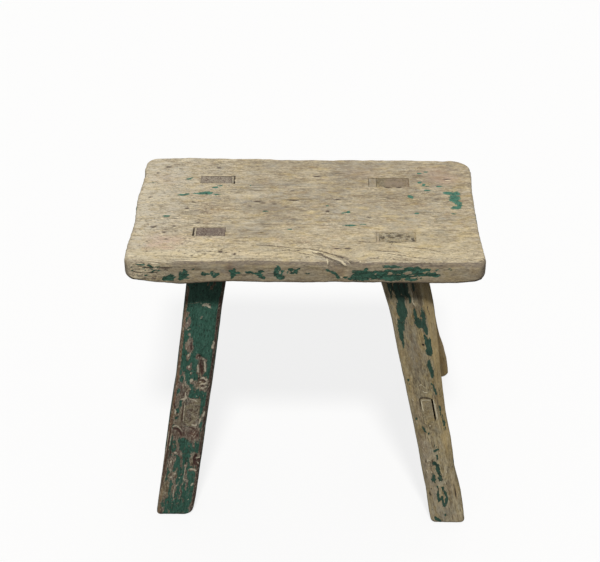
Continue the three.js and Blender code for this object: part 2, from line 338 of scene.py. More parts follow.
# ------------------------------------------------------------------ seat plank
EDGE_LEFT = [(-105, 0.2), (-83, 0), (-66, 0.5), (-49, 1.5), (-26, 2.7), (-2, 1.3), (22, 0.6), (40, 1.3), (60, 2.0), (82, 1.0), (105, 2.2)]
EDGE_RIGHT = [(-105, -1.0), (-88, 0.4), (-60, 1.8), (-40, 2.7), (0, 3.0), (39, 2.7), (52, 2.0), (72, 0.8), (90, 1.0), (105, 1.6)]
EDGE_FRONT = [(-182, 0.4), (-150, -0.2), (-120, 0), (-60, 1.0), (-20, 0.4), (20, 0.8), (48, 1.4), (60, 0.4), (120, 0.6), (182, 0.2)]
EDGE_BACK = [(-182, 0.2), (-160, -1.4), (-130, -1.9), (-100, -1.2), (-60, -0.4), (-20, 0.3), (0, 0.7), (40, 0.2), (90, 0.8), (140, 0.7), (182, 0.6)]
CORNER = (10.5, 13.0, 19.0, 12.0)

TORN = [  # splits that swoop over the front arris: (x, y, z) points, half width, depth
    ([(-56, -70.1, 320), (-34, -72.9, 320), (-22, -74.3, 320), (-9.3, -77.1, 320)], 0.7, 0.5),
    ([(-12, -76.8, 320), (0, -77.3, 320), (12.7, -79.4, 320), (25.3, -86.1, 320), (36.2, -91.9, 320), (45.3, -101, 320), (51.9, -105, 317)], 0.85, 1.2),
    ([(8, -84.5, 320), (16.9, -86.9, 320), (22.8, -93.9, 320), (29.5, -98.7, 320), (36.1, -104, 320), (40.3, -105, 316)], 1.05, 1.7),
    ([(36, -90.5, 320), (41.2, -94.8, 320), (45.3, -100, 320), (49, -105, 318)], 0.8, 1.1),
    ([(24.9, -96.5, 320), (25.4, -103, 320), (25.2, -105, 316)], 0.8, 1.2),
    ([(36.4, -105, 315.5), (42.4, -105, 315.6)], 0.8, 1.2),
    ([(-28.6, -82, 320), (-16.9, -79.5, 320), (-8.3, -83.2, 320), (0.1, -86.9, 320), (8, -89, 320)], 0.7, 0.6),
    ([(66, -79.2, 320), (80, -81.5, 320), (92.6, -82.1, 320), (102, -85.8, 320)], 0.7, 0.45),
    ([(79, -83.6, 320), (92.4, -87.4, 320), (105, -90.4, 320), (128, -94.5, 320)], 0.7, 0.40),
    ([(52.6, -62.7, 320), (59.3, -64.2, 320), (67.8, -64.9, 320), (74, -64, 320)], 0.7, 0.6),
    ([(60, -93, 320), (84, -95, 320), (112, -97, 320)], 0.6, 0.5),
    ([(96, -72, 320), (122, -76, 320), (146, -84, 320)], 0.6, 0.5),
    ([(-150, -92.6, 320), (-128, -94.0, 320), (-100, -95.2, 320)], 0.5, 0.15),
]
PALE_LINES = [  # raised, rubbed lips and bright hard grain: points, half width, strength
    ([(-2, -78.9, 320), (5.1, -80.0, 320), (15.2, -85.2, 320), (21, -90.0, 320), (29, -95.4, 320), (36.5, -99.6, 320), (42, -105, 317), (43.7, -105, 313)], 1.15, 1.1),
    ([(22.0, -95.5, 320), (23.2, -102, 320), (23.6, -105, 318)], 0.9, 0.95),
    ([(42.6, -105, 315.5), (42.9, -105, 309.4)], 1.3, 1.1),
    ([(55.8, -98.2, 320), (55.2, -104, 320)], 0.8, 0.8),
    ([(38.4, -95.2, 320), (43.0, -99.4, 320), (47.6, -104.8, 319)], 0.9, 1.0),
    ([(68, -81.2, 320), (82, -83.4, 320), (94, -84.0, 320), (103, -87.8, 320)], 0.9, 0.9),
    ([(81, -85.8, 320), (93.4, -89.6, 320), (106, -92.4, 320)], 0.9, 0.9),
    ([(-56, -72.2, 320), (-34, -75.0, 320), (-12, -79.0, 320)], 0.9, 0.6),
    ([(-178.5, -93.1, 320), (-171.5, -93.3, 320)], 1.0, 1.2),
    ([(-176.3, -102.0, 320), (-161.9, -104.0, 320), (-142.1, -105, 317.6)], 0.8, 0.85),
    ([(-160, -100.6, 320), (-143.7, -103.0, 320), (-126.9, -104.8, 318.6)], 0.8, 0.75),
    ([(-152.2, -105, 316), (-146.6, -105, 312)], 1.1, 0.9),
    ([(-177.3, -104, 303.6), (-170, -105, 300.8), (-161.7, -105, 299.7)], 1.1, 0.9),
    ([(-120.5, -33.6, 320), (-105.6, -35.6, 320), (-88, -37.6, 320)], 0.9, 0.9),
    ([(-116.3, 67.4, 320), (-105.3, 68.3, 320), (-95, 66.8, 320)], 0.9, 0.8),
    ([(-126.4, -100.6, 320), (-104.7, -99.6, 320), (-79.8, -98.8, 320)], 0.9, 0.85),
    ([(-66, -99.2, 320), (-30, -99.4, 320), (6, -99.6, 320)], 0.8, 0.62),
    ([(60, -100, 320), (96, -100.3, 320), (150, -100.8, 320)], 0.8, 0.66),
]
TOP_PALE = [  # small pale marks beside the pits
    (-109.8, -90.6, 3.6, 1.5), (-105.8, -87.4, 3.0, 1.2), (-101.2, -92.4, 3.4, 1.3), (-155.9, -40.6, 2.6, 1.8), (-162.0, -36.2, 2.4, 1.2), (-125.9, -6.0, 3.2, 1.6), (-154.4, 83.4, 1.5, 1.2),
    (-125.5, -21.1, 2.0, 1.6), (-170.5, -26.0, 3.0, 1.6), (-146.0, -94.6, 3.0, 1.2), (-84, -89.6, 3.0, 1.4), (-72, -92.4, 2.6, 1.4), (-118.2, 11.6, 4.0, 1.3), (-114.0, -52, 2.4, 1.2), (-140.6, -86, 4, 1.0),
    (-150.5, -22.2, 3.2, 1.1), (-134, -21.0, 3.0, 1.0), (-52, 9.6, 5.0, 1.2), (-12, 13.2, 5.6, 1.1), (12, 62.8, 4.6, 1.2), (23, -9.2, 3.0, 1.4), (36, 15.2, 5.0, 1.2), (44, -10.6, 5.0, 1.3), (-91, -79.6, 2.6, 1.2),
    (-116.4, -88.6, 2.8, 1.3), (-125, -66, 2.4, 1.0), (-88, -87, 2.6, 1.2), (-74.5, -85.5, 2.2, 1.0), (-121, -62, 2.4, 1.0), (-110, -88.8, 1.8, 1.1), (-99, -85.6, 2.4, 1.0), (-156, -86, 2.4, 1.0),
    (-136.0, -40.0, 3.0, 1.2), (-147.5, -53.2, 3.0, 1.1), (112, -62, 2.8, 1.2), (154, 59.0, 4.6, 1.2), (-99, 80.8, 3.0, 1.2), (68, -21, 4, 1.0), (101, 41, 5, 1.1),
]
FRONT_PALE = [(-164.4, 307.8, 1.3, 3.0), (-170.6, 309.8, 2.4, 1.2, -30), (-171.9, 314.8, 2.4, 1.2), (-175.3, 313.8, 1.2, 2.4), (-158.7, 305.8, 2.6, 1.1, -25), (-150.7, 312.5, 3.0, 1.1), (-168, 303.4, 2.2, 1.0, -20), (-167.6, 313.2, 3.0, 1.0, -15), (-160.8, 311.8, 2.0, 0.9),
              (-154.4, 305.6, 2.0, 0.9), (-91.4, 305.9, 1.3, 1.0), (36.8, 303.0, 2.2, 1.2)]
CHECKS = [  # drying splits: end points in (x, y, z), half width, depth
    ([(181, -60, 309), (160, -61, 315), (140, -62, 320)], 0.7, 1.4),
    ([(181, 18, 306), (181, 19, 314)], 0.6, 2.0),
    ([(-181, -30, 304), (-181, -29, 314), (-165, -28, 320)], 0.7, 1.5),
    ([(-181, 52, 310), (-176, 52.5, 320), (-150, 54, 320)], 0.5, 1.0),
    ([(181, 62, 300), (181, 60, 316)], 0.7, 1.6),
    ([(-175, -104.5, 314), (-150, -104.5, 313), (-128, -104.5, 314.5)], 0.6, 1.0),
    ([(-178, -104, 308), (-158, -104.5, 307), (-146, -104.5, 308)], 0.6, 0.9),
    ([(-141.4, -105, 310.9), (-136.4, -105, 310.9)], 0.9, 1.2),
    ([(-7, -105, 317.4), (1.3, -105, 316.5), (6, -105, 316.2)], 0.8, 0.9),
    ([(0, -105, 314), (30, -105, 312.5)], 0.6, 0.9),
    ([(-60, 105, 310), (20, 105, 309), (70, 105, 311)], 0.7, 1.4),
    ([(100, 105, 304), (150, 105, 305)], 0.6, 1.0),
    ([(-120, 20, UNDER), (-20, 26, UNDER), (60, 24, UNDER)], 0.8, 1.6),
    ([(40, -60, UNDER), (120, -64, UNDER), (181, -62, UNDER + 3)], 0.8, 1.6),
    ([(88.2, -63.2, 320), (87.5, -70, 320), (87, -77, 320)], 0.55, 0.8),
    ([(74.0, -54.2, 320), (78.5, -60.8, 320), (88.2, -64.4, 320), (97.6, -63.6, 320), (104.5, -62.4, 320)], 1.0, 1.15),
]
PITS_TOP = [(158.1, -42.3, 1.2, 2.2), (97.9, -54.4, 1.6, 1.6), (111.6, -59.7, 1.4, 1.3), (11.1, 65.6, 3.0, 0.4), (-126.1, -2.2, 2.0, 0.6), (-119.6, 11.0, 2.4, 0.5),
            (-51.9, 13.2, 3.0, 0.5), (-157.8, -38.8, 3.6, 0.6), (-85.3, -84.3, 2.4, 0.6), (-92, -86, 2.0, 0.6), (-100, -84, 2.2, 0.5), (-71.3, -88.4, 2.0, 0.5),
            (43.2, -76.6, 2.6, 0.4), (-79.6, 63.0, 1.8, 1.6), (-78.8, 53.5, 1.5, 1.0), (88, 44.6, 3.0, 0.8), (-146, -48.8, 1.8, 0.5), (-13.2, 16.1, 3.0, 0.4)]


def seat_shape():
    xs = graded([(-HW, 0.9), (-HW + 6, 2.3), (-36, 1.9), (-6, 1.15), (60, 1.9), (130, 2.3), (HW - 6, 0.9), (HW, 0)])
    ys = graded([(-HD, 0.75), (-HD + 6, 0.85), (-72, 1.2), (60, 1.35), (HD - 6, 0.9), (HD, 0)])
    zs = lines((TOP - UNDER) / 2, 5, 0.85, 1.45)
    I, J, K, q = box_grid(len(xs) - 1, len(ys) - 1, len(zs) - 1)
    x, y, z = xs[I], ys[J], zs[K]
    hz = (TOP - UNDER) / 2

    # rounded long edges, softer at the plank's corners
    e = np.minimum(HW - np.abs(x), HD - np.abs(y))
    bx, by = x * HW / np.maximum(HW - e, 1), y * HD / np.maximum(HD - e, 1)
    corner = smooth(150, 180, np.abs(bx)) * smooth(72, 104, np.abs(by))
    rt = 3.4 + (0.9 + 1.3 * smooth(70, 130, x)) * (by < -95) + 1.6 * corner + 0.7 * fbm(np.stack([bx, by, 0 * bx], 1), (26, 26, 9), 2, 3)
    rb = 3.2 + 5.5 * corner + 0.8 * fbm(np.stack([bx, by, 0 * bx + 50], 1), (30, 30, 9), 2, 4)
    r = np.clip(np.where(z > 0, rt, rb), 1.6, 11)
    a, b = (r - e) / r, (np.abs(z) - (hz - r)) / r
    hit = (a > 0) & (b > 0)
    m, l = np.maximum(a, b), np.hypot(a, b) + 1e-12
    e2 = np.where(hit, r - a * m / l * r, e)
    z = np.where(hit, np.sign(z) * (hz - r + b * m / l * r), z)
    x, y = x * (HW - e2) / np.maximum(HW - e, 1), y * (HD - e2) / np.maximum(HD - e, 1)
    x, y = round_corners(x, y, -HW, HW, -HD, HD, CORNER)

    # hand-sawn, hand-worn edges
    wx, wy = smooth(HW - 60, HW - 15, np.abs(x)), smooth(HD - 55, HD - 12, np.abs(y))
    x = x - np.sign(x) * wx * np.where(x < 0, table(EDGE_LEFT, y), table(EDGE_RIGHT, y))
    y = y - np.sign(y) * wy * np.where(y < 0, table(EDGE_FRONT, x), table(EDGE_BACK, x))
    z = z + (TOP + UNDER) / 2
    # the underside's front edge hangs lower to the left of the front left leg
    hang = 2.6 * np.exp(-(((x + 124) / 17) ** 2)) * smooth(-60, -98, y) - 0.6 * np.exp(-(((x + 76) / 9) ** 2)) * smooth(-70, -98, y)
    hang -= (0.9 * np.exp(-(((x - 26) / 17) ** 2)) + 1.0 * np.exp(-(((x - 76) / 15) ** 2)) + 0.8 * np.exp(-(((x - 154) / 20) ** 2))) * smooth(-60, -98, y)
    z = z - hang * smooth(UNDER + 12, UNDER, z)
    v = np.stack([x, y, z], 1)

    n = normals(v, q)
    top, front = smooth(0.5, 0.9, n[:, 2]), smooth(0.4, 0.8, -n[:, 1])
    edge = np.exp(-((e2 / 5) ** 2)) * np.exp(-(((hz - np.abs(z - (TOP + UNDER) / 2)) / 5) ** 2))
    d = 0.32 * fbm(v, (90, 60, 40), 2, 11) + 0.09 * fbm(v, (9, 7, 6), 3, 12)
    swirl = 6 * np.exp(-(((x - 30) / 30) ** 2 + ((y + 92) / 16) ** 2))
    gp = np.stack([x, y + swirl * smooth(0, 50, x), z], 1)
    d += 0.13 * fbm(gp, (46, 2.6, 2.6), 3, 13, 0.6) * (1 - 0.5 * smooth(0.5, 0.9, np.abs(n[:, 0])))
    d += 0.30 * edge * fbm(v, (7, 5, 4), 3, 14) - 0.28 * edge * smooth(0.1, 0.9, fbm(v, (14, 9, 5), 2, 15))
    d -= 0.35 * smooth(0.25, 0.8, fbm(v, (26, 12, 12), 3, 16)) * front * 0.8
    # sawn end grain
    ends = smooth(0.5, 0.9, np.abs(n[:, 0]))
    d += ends * 0.16 * fbm(v, (9, 1.6, 14), 3, 18)
    for line, w, depth in TORN + CHECKS:
        r2, share = polyline_distance(v, line)
        jag = 1 + 0.5 * fbm(v, (5, 5, 5), 2, 19)
        taper = np.clip(np.minimum(share, 1 - share) * 5 + 0.25, 0, 1)
        d -= depth * taper * np.exp(-((r2 / (w * jag * 0.9 + 0.25)) ** 2))
    for line, w, strength in PALE_LINES:
        r2, share = polyline_distance(v, line)
        d += 0.32 * strength * np.exp(-((r2 / (w * 1.1)) ** 2)) * np.clip(np.minimum(share, 1 - share) * 4 + 0.3, 0, 1)
    # the front arris is broken away where the splits reach it
    for c, s, depth in (((31, -105.5, 318), (6.5, 5, 6.5), 2.3), ((39, -106, 313), (5.5, 3, 7), 1.1), ((53, -105.5, 319.5), (3.0, 4, 4), 1.1),
                        ((-70, -105.5, 319), (5, 4, 4), 1.0), ((-171, -105, 313), (9, 3, 5), 0.8), ((112, -105.5, 320), (8, 3.4, 2.6), 0.7),
                        ((-128, -105.5, 320.5), (6, 3, 3), 0.7), ((150, 105.5, 320), (7, 4, 4), 1.0), ((-30, 105.5, 320), (10, 3, 3), 0.8),
                        ((182, -92, 298), (4, 9, 5), 1.2), ((-182, 70, 319), (4, 8, 4), 0.9)):
        g = np.exp(-(((x - c[0]) / s[0]) ** 2 + ((y - c[1]) / s[1]) ** 2 + ((z - c[2]) / s[2]) ** 2))
        d -= depth * smooth(0.12, 0.6, g)
    for px, py, rr, depth in PITS_TOP:
        d -= depth * np.exp(-(((x - px) / rr) ** 2 + ((y - py) / (rr * 0.8)) ** 2)) * top
    for _ in range(70):
        px, py, rr, depth = rng.uniform(-172, 172), rng.uniform(-98, 98), rng.uniform(1.0, 3.4), rng.uniform(0.08, 0.35)
        d -= depth * np.exp(-(((x - px) / (rr * 1.7)) ** 2 + ((y - py) / rr) ** 2)) * top
    # rough bottom left corner
    d += 0.35 * fbm(v, (5, 3, 3), 3, 21) * np.exp(-(((x + 172) / 18) ** 2)) * front
    return v + n * d[:, None], q


def mortise_tool(name, leg):
    """A slanted prism through the plank, slightly crumbled towards the top."""
    nx, ny, nz = 22, 12, 16
    I, J, K, q = box_grid(nx, ny, nz)
    z = UNDER - 6 + (TOP + 8 - (UNDER - 6)) * K / nz
    u = leg["u"][0] + (leg["u"][1] - leg["u"][0]) * I / nx
    v = -leg["v"] / 2 + leg["v"] * J / ny
    cx, cy = axis(leg, z)
    p = np.stack([cx + u, cy + v, z], 1)
    n = np.stack([(I == nx) * 1.0 - (I == 0) * 1.0, (J == ny) * 1.0 - (J == 0) * 1.0, 0 * z], 1)
    seed = 100 + list(LEGS).index(name)
    high = smooth(311, 320, z)
    front, back, left, right = J == 0, J == ny, I == 0, I == nx
    grow = 0.04 + 0.22 * smooth(0.1, 0.9, fbm(p, (6, 4, 5), 3, seed)) * high
    if name == "front_left":
        grow += 0.28 * high * (front | back) + 0.2 * left * high
    if name == "back_left":
        grow += 0.32 * high * back * smooth(-13, -9, u) + 1.2 * np.exp(-(((u - 18.4) / 2.6) ** 2)) * high * smooth(-0.8, 0.6, fbm(p, (4, 3, 4), 2, seed + 9))
    if name == "back_right":
        grow += 0.26 * high * front + 0.2 * high * right - 0.12 * high * (left | back)
    if name == "front_right":
        grow -= 0.16 * high * (left | back | right)
        grow += front * high * 0.8 * smooth(-15, -12, u) * smooth(17, 13, u) * smooth(-0.7, 0.5, fbm(p, (5, 4, 4), 2, seed + 5))
    return new_object("tool_" + name, p + n * grow[:, None] + SHIFT, q)


TOP_GREEN = [
    (-108.3, 29.3, 8.6, 3.6, 2), (-117, 27.5, 7, 1.1), (-96, 26.5, 6, 0.9), (-99.6, 41.6, 3.4, 2.6), (-94, 45, 3, 1.2), (-133.6, 24.8, 6.4, 1.7), (-128, 26.5, 2.4, 1.6),
    (-130.1, 58.6, 4.2, 1.8), (-126, 62, 2.4, 1.2), (-167.9, 52.0, 4.0, 1.4), (-43.1, -7.0, 2.6, 1.8), (-61.7, 46.2, 1.8, 1.8), (-16.3, -41.6, 2.8, 1.0), (-146.0, -17.8, 4.4, 1.6),
    (154.0, 32.5, 7.2, 3.6), (160.0, 31.0, 4.6, 5.0), (158.8, 21.5, 6.6, 8.6), (162.2, 11.7, 3.8, 5.6), (159.4, 2.6, 6.0, 3.4), (163, 6, 3, 3),
    (123.3, 73.5, 2.8, 1.6), (131.3, 76.6, 2.8, 1.4), (122.9, 54.1, 2.8, 2.2), (129.5, 46.7, 6.3, 1.3), (130.1, 38.5, 3.8, 1.5), (127.5, 50.5, 2.0, 2.6), (144.0, 46.2, 4.2, 1.9),
    (112.1, 24.3, 4.0, 4.4), (116.7, -9.3, 3.8, 1.7), (154.7, -9.2, 2.8, 1.2), (22.3, 5.8, 1.8, 2.0), (44.6, -7.4, 2.4, 3.4), (40.2, -9.2, 2.6, 1.6), (45.5, -33.6, 7.4, 1.6), (60.0, -31.9, 3.6, 1.1),
]
FRONT_GREEN = [
    (-140.8, 301.2, 2.6, 3.2), (-137.6, 302.4, 1.7, 4.4), (-134.4, 303.0, 1.6, 4.0, -12), (-137.5, 299.6, 6.2, 2.0), (-131.8, 302.0, 1.3, 4.0),
    (-119.6, 309.2, 2.9, 3.4, 25), (-124.4, 307.2, 3.0, 2.6), (-121.4, 303.6, 2.0, 5.0), (-124.9, 300.2, 2.6, 2.2), (-117.9, 305.6, 2.4, 2.4), (-125.4, 303.6, 1.8, 2.8), (-118.6, 301.0, 1.5, 1.6),
    (-98.0, 306.2, 6.6, 1.9), (-90.6, 305.2, 5.4, 2.1), (-93.0, 308.4, 1.7, 2.2), (-92.0, 303.2, 1.8, 2.0), (-87.4, 306.8, 1.8, 1.6), (-102.4, 307.0, 2.0, 1.5),
    (-72.0, 307.6, 3.8, 4.6), (-67.6, 308.2, 3.8, 1.7), (-73.4, 303.2, 2.0, 4.4), (-70.8, 312.4, 1.8, 2.4), (-75.0, 309.6, 1.8, 2.2),
    (-55.2, 308.8, 5.6, 1.4, -4), (-50.0, 307.7, 4.8, 1.7, -12), (-46.6, 306.4, 4.6, 2.5), (-43.4, 304.6, 2.7, 3.6), (-44.4, 309.6, 5.0, 1.1), (-41.8, 302.4, 1.8, 2.0),
    (-27.2, 309.8, 3.6, 6.8, 0, 4), (-24.6, 302.6, 4.4, 2.9, 0, 3), (-25.8, 314.8, 1.6, 2.6), (-22.9, 308.6, 1.5, 4.0),
    (-11.2, 310.9, 3.7, 2.9), (-7.6, 312.7, 3.2, 1.3, 25), (-14.7, 312.8, 2.1, 1.7), (-12.9, 307.9, 2.3, 2.1), (-8.2, 308.7, 2.4, 1.6), (-16.6, 309.4, 1.4, 1.3), (1.6, 307.4, 3.6, 0.9),
    (23.6, 311.6, 2.8, 1.6, -25), (28.6, 309.2, 4.2, 1.6, -32), (31.6, 306.6, 3.0, 1.8, -40), (33.6, 303.2, 2.6, 2.8), (41.0, 303.2, 3.0, 1.8), (45.2, 301.6, 2.4, 1.6),
    (56.7, 305.8, 9.6, 6.8, 0, 6), (72.0, 306.4, 13.0, 6.0, 0, 5), (61.8, 313.8, 2.6, 2.0), (93.0, 303.8, 18.0, 4.6, 0, 4), (107.0, 302.6, 6.4, 3.0, 0, 3),
    (87.0, 316.3, 11.0, 1.4, 0, 4), (107.0, 315.4, 9.0, 1.6, 0, 3), (96.0, 311.2, 13.0, 3.3, 0, 4), (84.0, 311.0, 5.0, 2.4), (116.6, 312.3, 9.0, 2.4, -4, 3), (112.0, 308.4, 7.4, 3.0, 0, 3), (122.6, 314.6, 4.2, 1.2),
    (124.7, 307.3, 10.8, 2.3, 0, 4), (132.6, 312.9, 2.8, 0.9), (117.4, 303.8, 2.6, 3.2), (129.6, 309.2, 4.4, 1.6), (144.6, 313.8, 1.7, 1.7),
    (-165.5, 316.8, 6.0, 0.9, -6), (-150.0, 315.2, 5.6, 0.9, -5), (-172.6, 309.4, 1.8, 1.5), (-160.6, 310.6, 2.8, 1.0, -20), (-153.2, 308.4, 2.6, 1.1), (-168.0, 304.8, 1.8, 1.2), (-146.2, 310.4, 2.2, 1.3), (-158.4, 305.4, 1.6, 1.0),
    (-174.6, 313.6, 1.2, 2.2), (-110.0, 312.6, 1.6, 1.0),
]
FRONT_BARE = [(85.5, 308.4, 3.2, 1.1), (103.4, 309.2, 4.2, 1.6), (71.3, 307.6, 1.4, 0.7), (99.1, 302.3, 2.6, 0.8), (109.0, 303.4, 3.0, 1.1), (78.7, 312.8, 2.6, 0.8), (117.3, 304.6, 2.6, 1.0), (120.5, 310.0, 3.4, 0.8),
              (93.0, 313.9, 7.0, 0.7), (107.4, 306.0, 2.2, 0.9), (66.0, 302.6, 1.2, 0.6), (-138.0, 304.2, 1.0, 1.6), (-122.2, 301.6, 0.9, 1.8), (-95.4, 305.0, 1.0, 0.8), (-49.4, 309.4, 2.6, 0.6), (-25.0, 309.0, 0.8, 1.6), (-11.8, 311.0, 0.8, 0.8)]
TOP_TONE = [  # blotches: (x, y, size x, size y, weight), negative is darker and greyer
    (-42, -2, 24, 9, -0.75), (-30, -22, 16, 10, -0.55), (-62, 12, 18, 8, -0.40), (-52, 44, 34, 12, -0.45), (-30, 54, 26, 10, -0.50), (50, 66, 22, 22, -0.65), (60, 86, 22, 9, -0.6),
    (32, 30, 18, 12, -0.35), (24, -4, 12, 16, -0.35), (84, 30, 20, 7, -0.60), (70, 10, 24, 12, -0.20), (132, 62, 24, 12, -0.35), (-150, 40, 24, 26, -0.20), (-100, 6, 22, 8, -0.30),
    (-136, -8, 22, 6, -0.45), (-146, -42, 20, 6, -0.35), (-120, 76, 30, 16, -0.25), (-48, -44, 12, 8, -0.30), (10, -44, 30, 9, 0.15), (-104, -64, 26, 12, 0.42), (-40, -70, 50, 10, 0.25),
    (-78, -20, 22, 10, 0.20), (-60, -30, 14, 10, 0.18), (130, -40, 36, 14, 0.10), (130, -74, 44, 12, 0.30), (60, -96, 130, 6, 0.35), (-120, -96, 60, 7, 0.45), (100, 88, 50, 10, 0.10),
    (-90, 92, 90, 8, -0.18), (-20, 88, 40, 9, -0.10), (-8, 74, 40, 7, -0.06), (160, -14, 20, 30, 0.05), (-30, 20, 30, 30, -0.08), (40, 10, 70, 50, -0.10),
    (-172, 22, 16, 46, 0.45), (-140, 34, 30, 26, 0.30), (-106, 48, 16, 10, 0.45), (-74, 34, 18, 24, 0.45), (-50, 22, 20, 12, 0.30), (45, 8, 20, 14, 0.22), (76, -14, 20, 12, 0.25),
    (30, -52, 30, 12, 0.35), (74, -44, 20, 10, 0.25), (-136, -72, 20, 9, 0.40), (-112, -86, 46, 7, 0.55), (30, -87, 40, 6, 0.30), (-46, -30, 14, 10, -0.25), (-75, -86, 9, 6, -0.40), (140, 42, 30, 30, -0.35),
    (132, 76, 30, 16, -0.35), (0, 92, 110, 10, -0.25), (166, 90, 20, 20, -0.25), (112, 20, 18, 16, -0.25), (-15, 50, 16, 12, 0.25), (24, -16, 16, 12, 0.12), (110, 92, 40, 8, -0.20),
]
TOP_DARK = [
    (-157.8, -38.8, 4.6, 2.4), (-146.0, -48.8, 2.6, 1.7), (-136.6, -37.3, 2.9, 1.5), (-126.1, -2.2, 2.9, 1.8), (-119.6, 11.0, 4.4, 1.9), (-51.9, 13.2, 4.9, 2.1), (-47, 10, 4, 1.2), (-13.2, 16.1, 6.6, 1.4),
    (-154.2, 84.7, 3.8, 2.0), (-97.9, 83.5, 3.1, 2.1), (-164.7, 71.6, 2.4, 1.8), (-85.3, -84.3, 2.8, 2.2), (-71.3, -88.4, 2.2, 2.2), (-7.2, -80.7, 1.9, 1.1), (11.1, 65.6, 4.9, 1.6),
    (22.7, -5.5, 2.5, 2.6), (153.2, 61.8, 5.4, 1.6), (158.1, -42.3, 1.1, 1.1), (32.4, -77.2, 4.2, 1.2), (97.9, -54.4, 1.9, 1.9), (111.6, -59.7, 1.9, 1.5), (43.2, -76.6, 4.2, 1.4),
    (-143, -62, 2.4, 1.4), (-162, -66, 1.8, 1.2), (-98, -56, 2.6, 1.3), (-60, 3, 3.0, 1.2), (-34, 8, 2.8, 1.2), (-22, 2, 3.4, 1.0), (-75, 30, 3, 0.9), (88, 44.2, 6, 1.4), (100, 43.6, 4, 1.5), (33, 18, 4, 1.2), (38, 22, 3, 1.0),
    (140, 20, 2.6, 0.9), (150, -20, 3, 0.9), (66, -18, 3.2, 0.9), (-15, 35, 3, 1.0), (-112, -30, 3, 1.1), (-168, 20, 2.5, 1.4),
    (-121, -88, 1.6, 0.9), (-113.5, -91.5, 2.2, 0.8), (-107.5, -85.0, 3.4, 0.8), (-101, -88.5, 2.6, 0.8), (-96, -84, 2.2, 0.9), (-92, -90, 1.8, 0.8), (-127, -84, 1.6, 0.8), (-84.5, -80.5, 2.4, 0.8), (-79, -86, 2.0, 0.9),
    (-66, -84.5, 2.0, 0.8), (-123.5, -60, 2.2, 0.8), (-118, -66, 2.6, 0.8), (-113, -58, 2.0, 0.8), (-126, -70, 1.8, 0.9), (-132, -54, 2.4, 0.8), (-104, -72, 1.8, 0.8), (-160, -84, 2.2, 0.8), (-150, -88, 1.8, 0.8),
]
TOP_PINK = [(-154, -73, 7, 3, 1.1), (-144, -76, 6, 2.6, 1.1), (-161, -80, 4, 3, 0.9), (-138, -79, 6, 2.6, 1.0), (-129, -71, 6, 2.4, 0.5), (-150, -60, 14, 8, 0.55), (-132, -62, 14, 7, 0.6), (-146, -72, 12, 7, 0.6), (150, 62, 16, 9, 0.8), (140, 78, 18, 8, 0.45), (-156, 60, 16, 10, 0.25), (-100, -6, 16, 6, 0.25), (-60, -88, 16, 5, 0.25), (60, 74, 20, 10, 0.25)]


